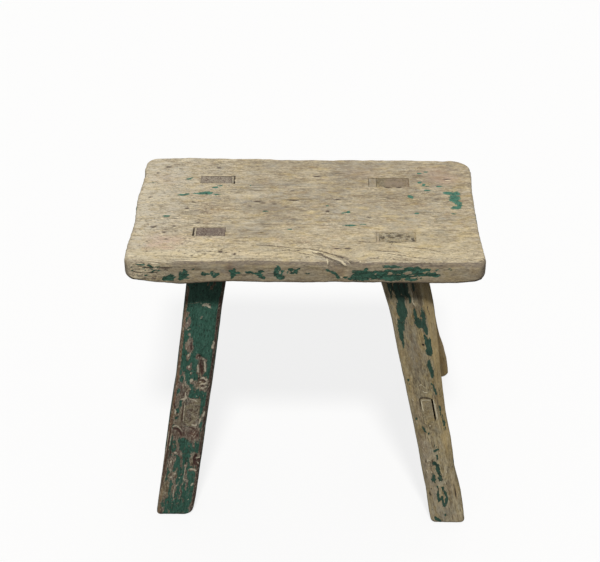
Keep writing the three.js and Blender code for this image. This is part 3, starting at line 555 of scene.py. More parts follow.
def seat_fields(obj):
    p = co(obj) - SHIFT
    n = vertex_normals(obj)
    x, y, z = p.T
    up, down = smooth(0.45, 0.85, n[:, 2]), smooth(0.45, 0.85, -n[:, 2])
    front, back = smooth(0.35, 0.75, -n[:, 1]), smooth(0.35, 0.75, n[:, 1])
    ends = smooth(0.45, 0.85, np.abs(n[:, 0]))
    inside = (z < TOP - 0.9) & (z > UNDER + 0.6) & (np.abs(x) < HW - 12) & (np.abs(y) < HD - 12)

    low = fbm(p, (34, 22, 22), 3, 51)
    wx, wy = 1.1 * fbm(p, (5, 4, 4), 3, 61), 0.8 * fbm(p, (6, 4, 4), 3, 62)
    f_top = blobs(x + wx, y + wy, TOP_GREEN) * 2.0 - 0.12
    f_front = blobs(x + 1.4 * wx, z + 1.2 * wy, FRONT_GREEN) * 2.6 - 0.10
    f_front = np.minimum(f_front, -3.0 * blobs(x, z, FRONT_BARE))
    for line in (((-171.2, -104.2, 320), (-161.2, -105, 318.5), (-152.2, -105, 315.0)), ((-151.1, -105, 319.2), (-144.5, -105, 318.4)), ((-160.6, -105, 314.4), (-154.9, -105, 312.5), (-148.4, -105, 310.0))):
        f_front = np.maximum(f_front, 0.75 - 0.75 * polyline_distance(p, line)[0])
    f_back = 1.6 * fbm(p, (30, 9, 7), 3, 52) - 0.35 - 0.05 * (z - 304)
    f_end = 1.6 * fbm(p, (10, 14, 8), 3, 53) - 0.95
    f_down = 1.5 * fbm(p, (40, 12, 9), 3, 54) - 0.95
    paint = np.full(len(p), -1.0)
    for w, f in ((up, f_top), (front, f_front), (back, f_back), (ends, f_end), (down, f_down)):
        paint = np.maximum(paint, np.clip(f, -1, 1) * w - (1 - w))
    paint[inside] = -1

    tone = 1.1 * up * bumps(x, y, TOP_TONE) + 0.20 * low
    tone += front * bumps(x, z, [(-165, 308, 16, 10, 0.25), (-110, 314, 30, 5, 0.1), (30, 309, 8, 8, -0.45), (-72, 312, 5, 9, -0.5), (150, 306, 30, 9, -0.1), (0, 305, 30, 6, -0.2), (-150, 300, 30, 3, -0.3)])
    tone += down * (-0.35) + back * (-0.05)
    dark = np.clip(2.4 * blobs(x, y, [(s[0], s[1], s[2] * 1.2, s[3] * 1.25) for s in TOP_DARK]), 0, 1) * up * 0.70
    dark = np.maximum(dark, front * np.clip(1.4 * blobs(x, z, [(-71, 313, 3.2, 7), (-142, 312, 5, 1.0), (22, 314, 4, 1.2), (30, 308, 9, 1.0, -30), (4, 312.5, 8, 0.8), (160, 311, 3, 1)]), 0, 0.6))
    for line, w, depth in TORN + CHECKS:
        r2, share = polyline_distance(p, line)
        dark = np.maximum(dark, 0.45 * np.exp(-((r2 / w) ** 2)) * np.clip(np.minimum(share, 1 - share) * 5 + 0.3, 0, 1))
    # Painted shade: the mortise walls inside the plank are darkened, strongly round the left legs and lightly round the
    # right.
    dark[inside] = np.where(x[inside] > 60, np.where(y[inside] < 0, 0.20, 0.28), 0.85)
    # grime round the joints
    for leg in LEGS.values():
        cx, cy = axis(leg, TOP)
        du = np.maximum(np.maximum(leg["u"][0] - (x - cx), (x - cx) - leg["u"][1]), 0)
        dv = np.maximum(np.abs(y - cy) - leg["v"] / 2, 0)
        near = np.exp(-((np.hypot(du, dv) / 1.3) ** 2)) * up
        dark = np.maximum(dark, near * 0.12)
    warm = up * np.clip(bumps(x, y, TOP_PINK), 0, 1)
    wear_and_light = up * (0.42 * np.exp(-(((y + 87) / 7) ** 2)) + 0.12 * smooth(96, 103, y)) + smooth(0.15, 0.6, np.minimum(n[:, 2], -n[:, 1])) * 0.16 * smooth(-0.4, 0.5, fbm(p, (12, 9, 9), 2, 63))
    lip = marks(p, PALE_LINES)
    lip = np.maximum(lip, up * (blobs(x + 0.5 * wx, y + 0.5 * wy, TOP_PALE) + 0.25) - (1 - up))
    lip = np.maximum(lip, smooth(-98, -104, y) * (blobs(x + 0.4 * wx, z + 0.4 * wy, FRONT_PALE) + 0.25) - smooth(-104, -98, y))
    crease = marks(p, [(line, 0.85 * w + 0.30, min(1.12, 0.52 + 0.46 * depth)) for line, w, depth in TORN + CHECKS])
    crease = np.maximum(crease, up * (0.80 * blobs(x + 0.5 * wx, y + 0.5 * wy, TOP_DARK) + 0.20) - (1 - up))
    fz = smooth(-98, -104, y)
    wear_and_light += fz * bumps(x, z, [(42.3, 311, 1.9, 5.2, 1.2), (22.9, 318.6, 1.9, 3.2, 1.1), (56.3, 318.6, 1.4, 3.2, 1.1), (-166, 308, 13, 9, 0.75), (-150, 316, 18, 2, 0.6), (-96, 308, 4, 1.2, 0.3)])
    for name, leg in LEGS.items():
        cx, cy = axis(leg, TOP)
        if name.endswith("left"):
            wear_and_light += 0.9 * up * np.exp(-(((y - cy - leg["v"] / 2 - 1.5) / 1.0) ** 2)) * smooth(-25, -18, x - cx) * smooth(16, 6, x - cx)
    wear_and_light = np.clip(wear_and_light, 0, 1)
    ash = up * np.clip(smooth(-90, -165, x) * 0.75 + bumps(x, y, [(-60, 40, 26, 18, 0.35), (-64, -30, 14, 9, 0.4), (-100, 80, 50, 20, 0.35), (-48, -42, 9, 6, 0.5), (-104, -88, 14, 5, 0.7), (60, 86, 40, 12, 0.2), (30, -40, 20, 8, 0.25)]), 0, 1)
    ash = np.maximum(ash, fz * 0.5 * smooth(-140, -160, x))
    # the grain runs along x and swirls down over the front edge near the torn splits
    s1 = np.exp(-(((x - 40) / 34) ** 2 + ((y + 92) / 20) ** 2))
    grain = np.stack([y + 11 * s1 * np.tanh((x - 12) / 26) + 1.6 * fbm(p, (70, 40, 40), 2, 55), z + 0.8 * fbm(p, (60, 30, 30), 2, 56), x], 1)
    # Painted shade: the front face is darker the further it turns from the top, graded by its tilt; the back, the ends,
    # the underside and a band of the top next to the front edge are darker as well.
    turned = smooth(0.15, 0.36, -n[:, 1]) * (y < -90) * (1 - 0.55 * smooth(-126, -150, x))
    dark = np.maximum(dark, turned * (0.25 + 0.39 * smooth(0.995, 0.85, -n[:, 1])) + 0.16 * back + 0.14 * ends + 0.20 * down + 0.10 * up * smooth(-94, -100, y))
    dark = np.maximum(dark, front * 0.46 * smooth(0.05, 0.40, fbm(p, (7, 4, 1.7), 3, 91)) * smooth(0.0, 0.3, paint))
    dark = np.maximum(dark, front * np.clip(bumps(x, z, [(-75, 313.5, 4.2, 5.5, 0.62), (-108.5, 314.5, 3, 2.2, 0.5), (36, 310, 8, 4, 0.42), (-142, 311.5, 5, 1.0, 0.6)]), 0, 0.7))
    brown = front * np.clip(bumps(x, z, [(-75, 314, 4, 6, 1.0), (-109, 317.5, 3, 3, 0.8), (36, 310, 9, 6, 0.7), (62, 317, 6, 3, 0.5), (60, 298, 60, 1.6, 0.7), (-60, 298, 80, 1.6, 0.6), (150, 300, 20, 4, 0.3)]), 0, 1)
    flecks = up * np.clip(0.22 + 0.90 * smooth(-50, -110, x) + 0.55 * smooth(-70, -84, y) + 0.6 * smooth(0.1, 0.7, fbm(p, (40, 24, 24), 2, 71)), 0, 1)
    flecks = np.maximum(flecks, front * (0.40 + 1.20 * smooth(-128, -150, x)) + 0.4 * ends)
    # tint is 1 on the top face, so the paint there takes the lighter green: a painted sheen on the top's paint.
    put(obj, crease=crease, lip=lip, flecks=flecks, brown=brown, ash=ash, tint=up, grain=grain, paint=paint, tone=np.clip(tone, -1, 1), dark=np.clip(dark, 0, 1), warm=warm, wear_and_light=wear_and_light, gold=0.26 * fz + up * bumps(x, y, [(120, -70, 60, 26, 0.35), (-20, -84, 70, 12, 0.35), (-130, -92, 46, 8, 0.35), (-152, -88, 22, 12, 0.3)]))


def seat_region(c, n):
    r = np.zeros(len(c), int)
    for i, leg in enumerate(LEGS.values()):
        cx, cy = axis(leg, c[:, 2])
        u, v = c[:, 0] - cx, c[:, 1] - cy
        hit = (u > leg["u"][0] - 2.5) & (u < leg["u"][1] + 2.5) & (np.abs(v) < leg["v"] / 2 + 2.5) & (np.abs(n[:, 2]) < 0.75)
        r[hit] = i + 1
    return r


# ------------------------------------------------------------------ stretchers
def plane_y(name, z, outer):
    sign = (-1 if name.startswith("front") else 1) * (1 if outer else -1)
    return axis(LEGS[name], z)[1] + sign * LEG_D / 2


def tenon_x(st, end, z):
    return axis(LEGS[st["legs"][end]], z)[0] + st["at"][end]


def rail_x(st, y, z):
    """Middle of the stretcher at depth y and height z."""
    yf, yb = float(axis(LEGS[st["legs"][0]], st["z"])[1]), float(axis(LEGS[st["legs"][1]], st["z"])[1])
    s = (y - yf) / (yb - yf)
    f, b = tenon_x(st, 0, st["z"]), tenon_x(st, 1, st["z"])
    return f * (1 - s) + b * s + (tenon_x(st, 0, z) - f) * (1 - s) + (tenon_x(st, 1, z) - b) * s


def stretcher_shape(st, seed):
    ends = 7
    body = 92
    levels = []  # (which plane pair, share between, half thickness, half height)
    for s in np.linspace(0, 1, ends):
        levels.append(("f", s, st["t"] / 2, st["h"] / 2))
    for s in np.linspace(0, 1, body):
        levels.append(("m", s, st["T"] / 2, st["H"] / 2))
    for s in np.linspace(0, 1, ends):
        levels.append(("b", s, st["t"] / 2, st["h"] / 2))
    nx, nz, ny = 14, 26, len(levels) - 1
    I, J, K, q = box_grid(nx, ny, nz)
    T = np.array([l[2] for l in levels])[J]
    H = np.array([l[3] for l in levels])[J]
    kind = np.array([l[0] for l in levels])[J]
    share = np.array([l[1] for l in levels])[J]
    a = (I / nx * 2 - 1) * T
    h = (K / nz * 2 - 1) * H
    body_r = np.where(kind == "m", 3.2, 0.7)
    x2, z2 = a.copy(), h.copy()
    for R in (3.2, 0.7):
        sel = body_r == R
        for tt in np.unique(T[sel]):
            s2 = sel & (T == tt)
            hh = H[s2][0]
            x2[s2], z2[s2] = round_corners(a[s2], h[s2], -tt, tt, -hh, hh, (R, R, R, R))
    a, h = x2, z2
    z = st["z"] + h
    fo, fi = plane_y(st["legs"][0], z, True) + 0.4, plane_y(st["legs"][0], z, False) + GAP
    bi, bo = plane_y(st["legs"][1], z, False) - GAP, plane_y(st["legs"][1], z, True) - 0.4
    y = np.where(kind == "f", fo + (fi - fo) * share, np.where(kind == "m", fi + (bi - fi) * share, bi + (bo - bi) * share))
    x = rail_x(st, y, z) + a
    v = np.stack([x, y, z], 1)
    n = normals(v, q)
    body_w = (kind == "m") * smooth(0, 0.03, share) * smooth(1, 0.97, share)
    d = body_w * (0.45 * fbm(v, (40, 60, 40), 2, seed) + 0.12 * fbm(v, (2.4, 40, 2.4), 3, seed + 1, 0.6) - 0.5 * smooth(0.3, 0.9, fbm(v, (12, 26, 12), 2, seed + 2)))
    d += (1 - body_w) * 0.10 * fbm(v, (3, 3, 3), 3, seed + 3) * (np.abs(n[:, 1]) > 0.6)
    for _ in range(14):
        py, pz, rr = rng.uniform(-80, 80), st["z"] + rng.uniform(-16, 16), rng.uniform(1.4, 4)
        d -= body_w * rng.uniform(0.1, 0.5) * np.exp(-(((y - py) / (2 * rr)) ** 2 + ((z - pz) / rr) ** 2))
    return v + n * d[:, None], q


def stretcher_tool(name, st):
    """The slot a stretcher's tenons run in, through both legs."""
    nx, ny, nz = 10, 40, 16
    I, J, K, q = box_grid(nx, ny, nz)
    z = st["z"] + (K / nz * 2 - 1) * (st["h"] / 2 + GAP)
    yf, yb = plane_y(st["legs"][0], z, True) - 8, plane_y(st["legs"][1], z, True) + 8
    y = yf + (yb - yf) * J / ny
    wob = fbm(np.stack([z * 0, z, y], 1), (9, 6, 7), 2, 230)
    lo, hi = -st["t"] / 2 - GAP - 0.2 * smooth(0.1, 1, wob), st["t"] / 2 + st["slack"] + 0.2 * wob
    if name == "right":
        near = smooth(-60, -100, y)
        hi = st["t"] / 2 + 0.15 + (st["slack"] - 0.15 + 0.15 * wob) * (1 - near * smooth(125.5, 123.0, z)) + 0.25 * near * smooth(122, 126, z)
        lo = lo - 0.55 * near * smooth(136, 144, z)
    x = rail_x(st, y, z) + lo + (hi - lo) * I / nx
    return new_object("tool_" + name, np.stack([x, y, z], 1) + SHIFT, q)


# ------------------------------------------------------------------ legs
def leg_shape(name, leg, seed):
    nx, ny = 36, 27
    z_body = np.concatenate([[0, 0.35, 1.0, 2.0, 3.2], np.linspace(4.6, UNDER - GAP - 1.2, 214), [UNDER - GAP - 0.5, UNDER - GAP]])
    ease = np.interp(z_body, [0, 0.35, 1.0, 2.0, 3.2, UNDER - 2, UNDER - GAP], [1.9, 1.0, 0.45, 0.12, 0, 0, 0.25])
    levels = []
    for z, e in zip(z_body, ease):
        x0, x1 = np.interp(z, leg["tab"][:, 0], leg["tab"][:, 1]), np.interp(z, leg["tab"][:, 0], leg["tab"][:, 2])
        grow = 1 + 0.2 * math.exp(-((z / 5.0) ** 2))
        foot = math.exp(-((z / 14.0) ** 2))
        levels.append([z, x0 + e, x1 - e, -LEG_D / 2 + e, LEG_D / 2 - e] + [a * grow + (min(a, 3.4) - a) * foot for a in leg["arris"]])
    u, w, s = leg["u"], leg["v"] / 2 - 0.08, leg["wedge"]
    top = TOP - 0.3

    def span(c):
        return (u[0] + c, u[1] - 0.08) if s < 0 else (u[0] + 0.08, u[1] - c)

    A, B, C = span(0.08), span(leg["slack"] + leg["wf"] + 0.12), span(leg["slack"] + leg["wt"] + 0.12)
    r = [0.5] * 4
    levels.append([UNDER - GAP + 0.02, A[0], A[1], -w, w] + r)
    for z in np.linspace(UNDER + 0.5, WEDGE_FOOT - 0.6, 4):
        levels.append([z, A[0], A[1], -w, w] + r)
    for t in np.linspace(0, 1, 9):
        z = WEDGE_FOOT - 0.3 + (top - 0.35 - WEDGE_FOOT + 0.3) * t
        levels.append([z, B[0] + (C[0] - B[0]) * t, B[1] + (C[1] - B[1]) * t, -w, w] + r)
    levels.append([top, C[0] + 0.3, C[1] - 0.3, -w + 0.3, w - 0.3] + r)
    L = np.array(levels)
    n_body = len(z_body)
    I, J, K, q = box_grid(nx, ny, len(L) - 1)
    z, x0, x1, y0, y1 = (L[K, i] for i in range(5))
    a, b = x0 + (x1 - x0) * I / nx, y0 + (y1 - y0) * J / ny
    body = K < n_body
    # the arrises wander along the leg
    pz = np.stack([z, 0 * z, 0 * z], 1)
    R = [np.where(body, L[K, 5 + c] * (1 + 0.28 * fbm(pz + 40 * c, (34, 9, 9), 2, seed + 60 + c)), L[K, 5 + c]) for c in range(4)]
    ch = [0.55, 0.85 if name == "front_right" else 0.6, 0.4, 0.4]
    ch = [np.where(body, c * smooth(2, 26, z), 0.0) for c in ch]
    a, b = round_corners(a, b, x0, x1, y0, y1, R, ch)
    cx, cy = axis(leg, z)
    v = np.stack([cx + a, cy + b, z], 1)
    n = normals(v, q)

    local = np.stack([a, b, z], 1)
    w_body = body * smooth(UNDER - 0.4, UNDER - 5, z)
    w_side = w_body * smooth(0, 3, z)
    d = w_side * (0.42 * fbm(local, (26, 26, 64), 2, seed) + 0.10 * fbm(local, (6, 6, 9), 3, seed + 1))
    d += w_side * 0.13 * fbm(local, (2.2, 2.2, 46), 3, seed + 2, 0.6)
    edge = np.clip(1 - np.minimum(np.abs(a - x0), np.abs(a - x1)) / 6, 0, 1) * np.clip(1 - np.minimum(np.abs(b - y0), np.abs(b - y1)) / 6, 0, 1)
    d += w_side * edge * (0.35 * fbm(local, (9, 9, 7), 3, seed + 3) - 0.9 * smooth(0.45, 0.95, fbm(local, (12, 12, 16), 2, seed + 4)))
    d += (1 - w_side) * (z < 3) * 0.25 * fbm(local, (5, 5, 5), 3, seed + 5)
    tip = (K == len(L) - 1) * 1.0
    d += tip * (0.16 * fbm(local, (2.2, 5, 5), 3, seed + 6) - 0.12)
    fr, bk = smooth(0.5, 0.9, -n[:, 1]), smooth(0.5, 0.9, n[:, 1])
    for spot in DENTS.get(name, []):
        su, sz, ru, rz, depth = spot[:5]
        g = np.exp(-(((a - su) / ru) ** 2 + ((z - sz) / rz) ** 2))
        d -= depth * g * fr * w_body
    for line, w2, depth in SPLITS.get(name, []):
        r2, share = polyline_distance(np.stack([a, z], 1), line)
        d -= depth * np.exp(-((r2 / w2) ** 2)) * fr * np.clip(np.minimum(share, 1 - share) * 4 + 0.3, 0, 1)
    local_rng = np.random.default_rng(seed)
    for _ in range(46):
        face, pz, rr, dep = local_rng.integers(0, 4), local_rng.uniform(6, 286), local_rng.uniform(1.0, 3.2), local_rng.uniform(0.08, 0.4)
        pa = local_rng.uniform(-15, 17)
        w3 = (fr, bk, smooth(0.5, 0.9, n[:, 0]), smooth(0.5, 0.9, -n[:, 0]))[face] * (0.35 if face == 0 else 1)
        coord = a if face < 2 else b
        pa = pa if face < 2 else pa * 0.7
        d -= dep * np.exp(-(((coord - pa) / rr) ** 2 + ((z - pz) / (2.2 * rr)) ** 2)) * w3 * w_body
    v = v + n * d[:, None]
    if name == "front_right":
        v[:, 2] -= tip * 0.25 * smooth(-0.2, 0.9, fbm(local, (4, 4, 4), 2, seed + 8))
    # the front left foot is worn away at its inner corner
    if name == "front_left":
        lift = np.clip((a - 13) * 0.42, 0, 6)
        v[:, 2] = np.where(v[:, 2] < 30, lift + v[:, 2] * (1 - lift / 30), v[:, 2])
    if name == "back_right":
        lift = np.clip((a - 15) * 0.5, 0, 6)
        v[:, 2] = np.where(v[:, 2] < 30, lift + v[:, 2] * (1 - lift / 30), v[:, 2])
    v[:, 2] = np.maximum(v[:, 2], 0)
    return v, q


DENTS = {
    "front_left": [(6.7, 189.8, 2.6, 2.0, 2.6), (10.6, 178, 4.0, 9, 0.9), (20.0, 203, 1.6, 4.5, 0.8), (19, 68.3, 4.2, 7.0, 2.6), (16, 55.7, 3.0, 2.5, 0.6), (6.0, 126, 8, 15, 0.25), (13.0, 158.2, 6, 7, 0.5),
                   (8.1, 248.4, 3.4, 1.3, 0.7), (-11, 100, 6, 7, 0.7), (-15, 60, 3, 9, 0.6), (-5.6, 202, 4, 6, 0.25), (19, 8, 5, 5, 0.6)],
    "front_right": [(9.3, 211.0, 0.9, 1.0, 2.4), (-6.4, 74.1, 3.4, 4.2, -0.5), (-6.4, 74.1, 1.6, 2.0, 1.0), (4.6, 49.0, 3.0, 3.6, -0.35), (17, 62, 5, 9, 0.7), (5, 114, 7, 9, 0.3), (16, 260, 5, 12, 0.8), (-15, 46, 3, 8, 0.5)],
}
SPLITS = {
    "front_left": [([(8.5, 188), (11, 178), (13.5, 166)], 0.8, 1.2), ([(10, 186), (13.5, 172)], 0.6, 0.8), ([(0, 247.2), (8, 248.4), (16, 245.8)], 0.7, 0.4), ([(7.6, 68), (7.2, 33)], 0.6, 0.4), ([(-13.5, 118), (-13.8, 78), (-13, 50)], 0.6, 0.7),
                   ([(-2.6, 44), (-2.8, 20)], 0.7, 0.4)],
    "front_right": [([(-1, 290), (0.5, 262), (2, 245)], 0.7, 0.9), ([(-12, 290), (-11, 262)], 0.6, 0.8), ([(6, 290), (8, 264)], 0.7, 0.9), ([(-6, 205), (-5, 168), (-3, 156)], 0.5, 0.4), ([(1.5, 184), (2.5, 154)], 0.5, 0.35),
                    ([(15.9, 49), (15.5, 26)], 0.8, 0.7), ([(-10, 150), (-12, 120), (-11, 96)], 0.6, 0.5), ([(-4.3, 151), (8, 151)], 0.5, 0.4)],
}
FL_BARE = [
    (-9.9, 228.0, 2.4, 7.0), (-12.4, 238, 1.7, 4.6), (-6.4, 214.9, 1.4, 1.6), (-6.6, 203.5, 4.2, 6.9), (-3.6, 199, 2.6, 5), (-5.6, 191.8, 2.2, 3.4), (-2.8, 178.4, 1.9, 2.9), (-0.7, 171.9, 1.0, 2.3), (1.4, 162.5, 2.8, 2.9),
    (7.2, 189.2, 3.4, 3.0), (10.6, 177.3, 4.9, 10.8), (13.0, 158.2, 7.4, 8.2), (20.1, 203.2, 2.0, 5.2), (-11.4, 158, 5.6, 15), (-4, 148, 4.4, 9), (-10, 140, 6, 10), (8.6, 248.2, 2.2, 0.6), (3.2, 234.2, 1.3, 0.9),
    (-4.0, 126, 12.0, 17), (7.4, 126.5, 10.0, 15.6), (10.6, 100.1, 9.2, 10.5), (-5.6, 102.4, 8.3, 9.6), (2, 108, 8, 8), (-3.8, 77.3, 5.6, 3.6), (-4.4, 84, 1.6, 8), (-9.2, 64.1, 3.6, 8.8), (-5.9, 49.9, 5.2, 3.8, -30),
    (-9, 47, 3, 4), (-12.0, 30.6, 4.0, 12.4), (-2.6, 33.7, 1.6, 12.4), (-4.4, 43, 2.4, 4), (7.6, 54.0, 0.9, 14.3), (1.1, 64.4, 1.3, 4.7), (1.0, 71.4, 1.0, 2.7), (15.2, 55.7, 3.9, 2.1), (16.4, 68.3, 5.0, 8.2), (-15.6, 6.5, 4.4, 8.0),
    (19.0, 8.4, 3.6, 7.9), (-15.4, 70, 2.4, 30), (-15.5, 110, 2.6, 26), (5, 28, 0.8, 9), (11, 40, 0.9, 6), (3, 50, 0.8, 1.0), (0, 22, 0.9, 1.2), (12, 88, 0.9, 4),
]
FL_GREEN = [(-9.7, 165.4, 2.2, 4.1), (-12.2, 149.4, 2.2, 3.4), (-7.1, 136.0, 1.9, 6.7), (-10.4, 128, 2.2, 3.6), (-10, 119, 3.0, 2.4), (15.8, 138.0, 4.0, 9.4), (15.4, 128, 2.2, 7), (-12, 173, 1.8, 4)]
FR_GREEN = [
    (-7.4, 247.5, 4.4, 13.4, 2), (-4.0, 249, 3.5, 8), (-10.2, 232, 3.9, 9.4), (-12.0, 220.9, 2.4, 12.8, 4), (6.4, 244.0, 2.2, 7.0), (8.4, 236.0, 3.9, 6.0), (11.8, 235, 4.4, 4), (14.4, 243, 2.4, 10.0), (14.6, 229, 2.2, 6.0),
    (15.0, 213.2, 2.9, 8.2), (13.0, 216, 2.2, 7), (15.8, 205, 2.4, 7.5), (13.6, 204.5, 2.6, 6.0), (12.2, 187.3, 1.9, 7.6), (13.6, 180, 2.0, 6.4),
    (-13.2, 171.5, 1.1, 2.2), (-12.8, 166.5, 0.8, 2.2), (-12.1, 125.3, 0.9, 1.7), (-13, 16, 0.8, 1.6), (4.4, 94.0, 1.0, 1.0), (1.0, 10.5, 1.0, 1.6),
    (-7.2, 273, 4.4, 14.5), (0.0, 274, 4.6, 13.0), (-5.6, 261, 4.4, 7.5), (3.8, 262, 1.5, 7), (-15.6, 273, 1.2, 12), (-12.6, 276, 1.2, 9), (9.4, 276, 1.2, 6),
]
FR_PAINT_LINES = [
    ([(-0.6, 74.1), (1.3, 68.7), (2.4, 62.0), (2.7, 53.2)], 1.9, 1.2), ([(2.8, 44.1), (5.1, 37.6), (6.3, 31.4), (3.4, 24.5), (1.6, 21.1)], 1.5, 1.2), ([(-4.4, 59.9), (-4.7, 53.8), (-4.5, 49.1)], 1.6, 0.95),
    ([(-3.5, 34.7), (-2.6, 30.6), (-2.6, 27.2)], 1.6, 1.1), ([(0.9, 32.1), (1.1, 28.0), (1.3, 23.1)], 1.0, 1.1), ([(2.4, 83.5), (3.8, 80.8), (2.7, 77.5)], 1.0, 1.1), ([(2.3, 88.8), (5.2, 89.5)], 1.2, 1.1),
    ([(1.8, 94.8), (3.0, 92.8)], 0.9, 1.0), ([(-7.2, 116.5), (-1.9, 108.6)], 1.2, 0.75), ([(15.4, 139.5), (15.9, 130), (16.3, 120), (16.5, 110)], 1.2, 1.3), ([(-10.1, 5.0), (-6.1, 3.0)], 1.5, 1.1),
    ([(11.6, 166.4), (12.8, 160.0), (13.6, 154.8)], 1.5, 1.2), ([(-2.4, 45.5), (-2.4, 40), (-3.2, 36)], 0.8, 0.9),
]
LEG_DARK_LINES = {
    "front_left": [([(10.5, 180), (11.8, 170.3)], 0.9, 1.0), ([(8.4, 184.4), (9.4, 176.7)], 0.9, 1.0), ([(-4.2, 207.1), (-3.5, 202), (-2.7, 197)], 1.0, 0.8), ([(10.5, 163), (14, 164), (17, 161.4)], 0.9, 1.0), ([(12, 156.3), (16, 156.6)], 0.9, 1.0),
                   ([(10, 166.8), (8, 164)], 0.8, 0.9), ([(-12.2, 105.4), (-6.8, 106.2), (-3.2, 102.0), (-1.5, 97.4)], 1.2, 1.0), ([(-14.7, 106.5), (-15.3, 90.5), (-15.6, 77.0), (-16.3, 63.4), (-16.9, 44.3), (-16.4, 24.9)], 0.9, 0.8),
                   ([(-12.0, 87.8), (-11.4, 71.7)], 0.9, 0.8), ([(6.3, 71.9), (6.7, 61)], 0.9, 0.75), ([(5.5, 131.5), (8.6, 132.6), (11.6, 131), (12.0, 128), (9.5, 125.5), (6, 126.5), (5.5, 131.5)], 0.7, 0.8), ([(2, 109), (8, 107.5), (13, 105)], 1.0, 0.8),
                   ([(-4, 136), (-3.8, 124), (-4, 114)], 0.9, 0.75), ([(-14, 137), (-12.6, 130)], 1.0, 0.8), ([(-9.6, 126), (-8.6, 119)], 0.9, 0.8), ([(4.6, 122), (6.4, 117), (5.0, 113)], 0.8, 0.75), ([(16.5, 104), (15.4, 96)], 1.0, 0.8),
                   ([(17.2, 75.5), (15.2, 70.5), (16.6, 64.2), (20.4, 60.6)], 1.3, 1.0), ([(0.4, 124), (2.2, 119.6)], 0.7, 0.7), ([(9.6, 140), (16.0, 134)], 0.8, 0.7)],
    "front_right": [([(-4.9, 147.9), (-4.2, 149.8), (-1.0, 150.9), (4.2, 150.4), (7.8, 150.0)], 0.75, 1.0), ([(-5.0, 149.0), (-4.9, 141.4), (-4.5, 135.4)], 0.75, 1.0), ([(19.6, 255.7), (21.6, 242.0), (21.6, 225.3)], 0.65, 0.85),
                    ([(22.0, 255.7), (24.0, 242.0), (24.2, 224.0)], 0.65, 0.8), ([(22.6, 224.0), (22.3, 205.8), (20.6, 185.9)], 0.65, 0.75), ([(23.2, 268), (23.6, 261.6)], 1.1, 0.9), ([(9.3, 211.9), (9.3, 210.2)], 1.3, 1.1),
                    ([(-3.3, 78.6), (-2.3, 72.7), (-5.4, 68.3)], 0.7, 0.7), ([(-10.2, 76), (-9.4, 71)], 0.7, 0.7), ([(16.6, 39.1), (15.5, 29.5)], 1.2, 0.75), ([(-12.2, 37.4), (-11.5, 33.6)], 1.1, 0.8), ([(-9.5, 44), (-8.8, 39)], 0.9, 0.6),
                    ([(-4.6, 122.2), (-4.3, 119.4)], 0.9, 0.8), ([(-8.6, 132), (-7.8, 122)], 0.8, 0.6), ([(13.4, 146), (12.6, 150.6), (10.6, 155)], 0.8, 0.6), ([(3.6, 55), (4.2, 51)], 0.6, 0.7), ([(8.0, 51), (8.4, 47.4)], 0.8, 0.75), ([(-1.2, 44), (-2.0, 40.2)], 0.8, 0.6),
                    ([(0.0, 290), (0.6, 272)], 0.8, 0.9), ([(-6.0, 290), (-5.4, 270)], 0.7, 0.8), ([(-12.4, 290), (-11.8, 268)], 0.8, 0.8), ([(16.4, 250), (17.4, 238)], 0.7, 0.7)],
}
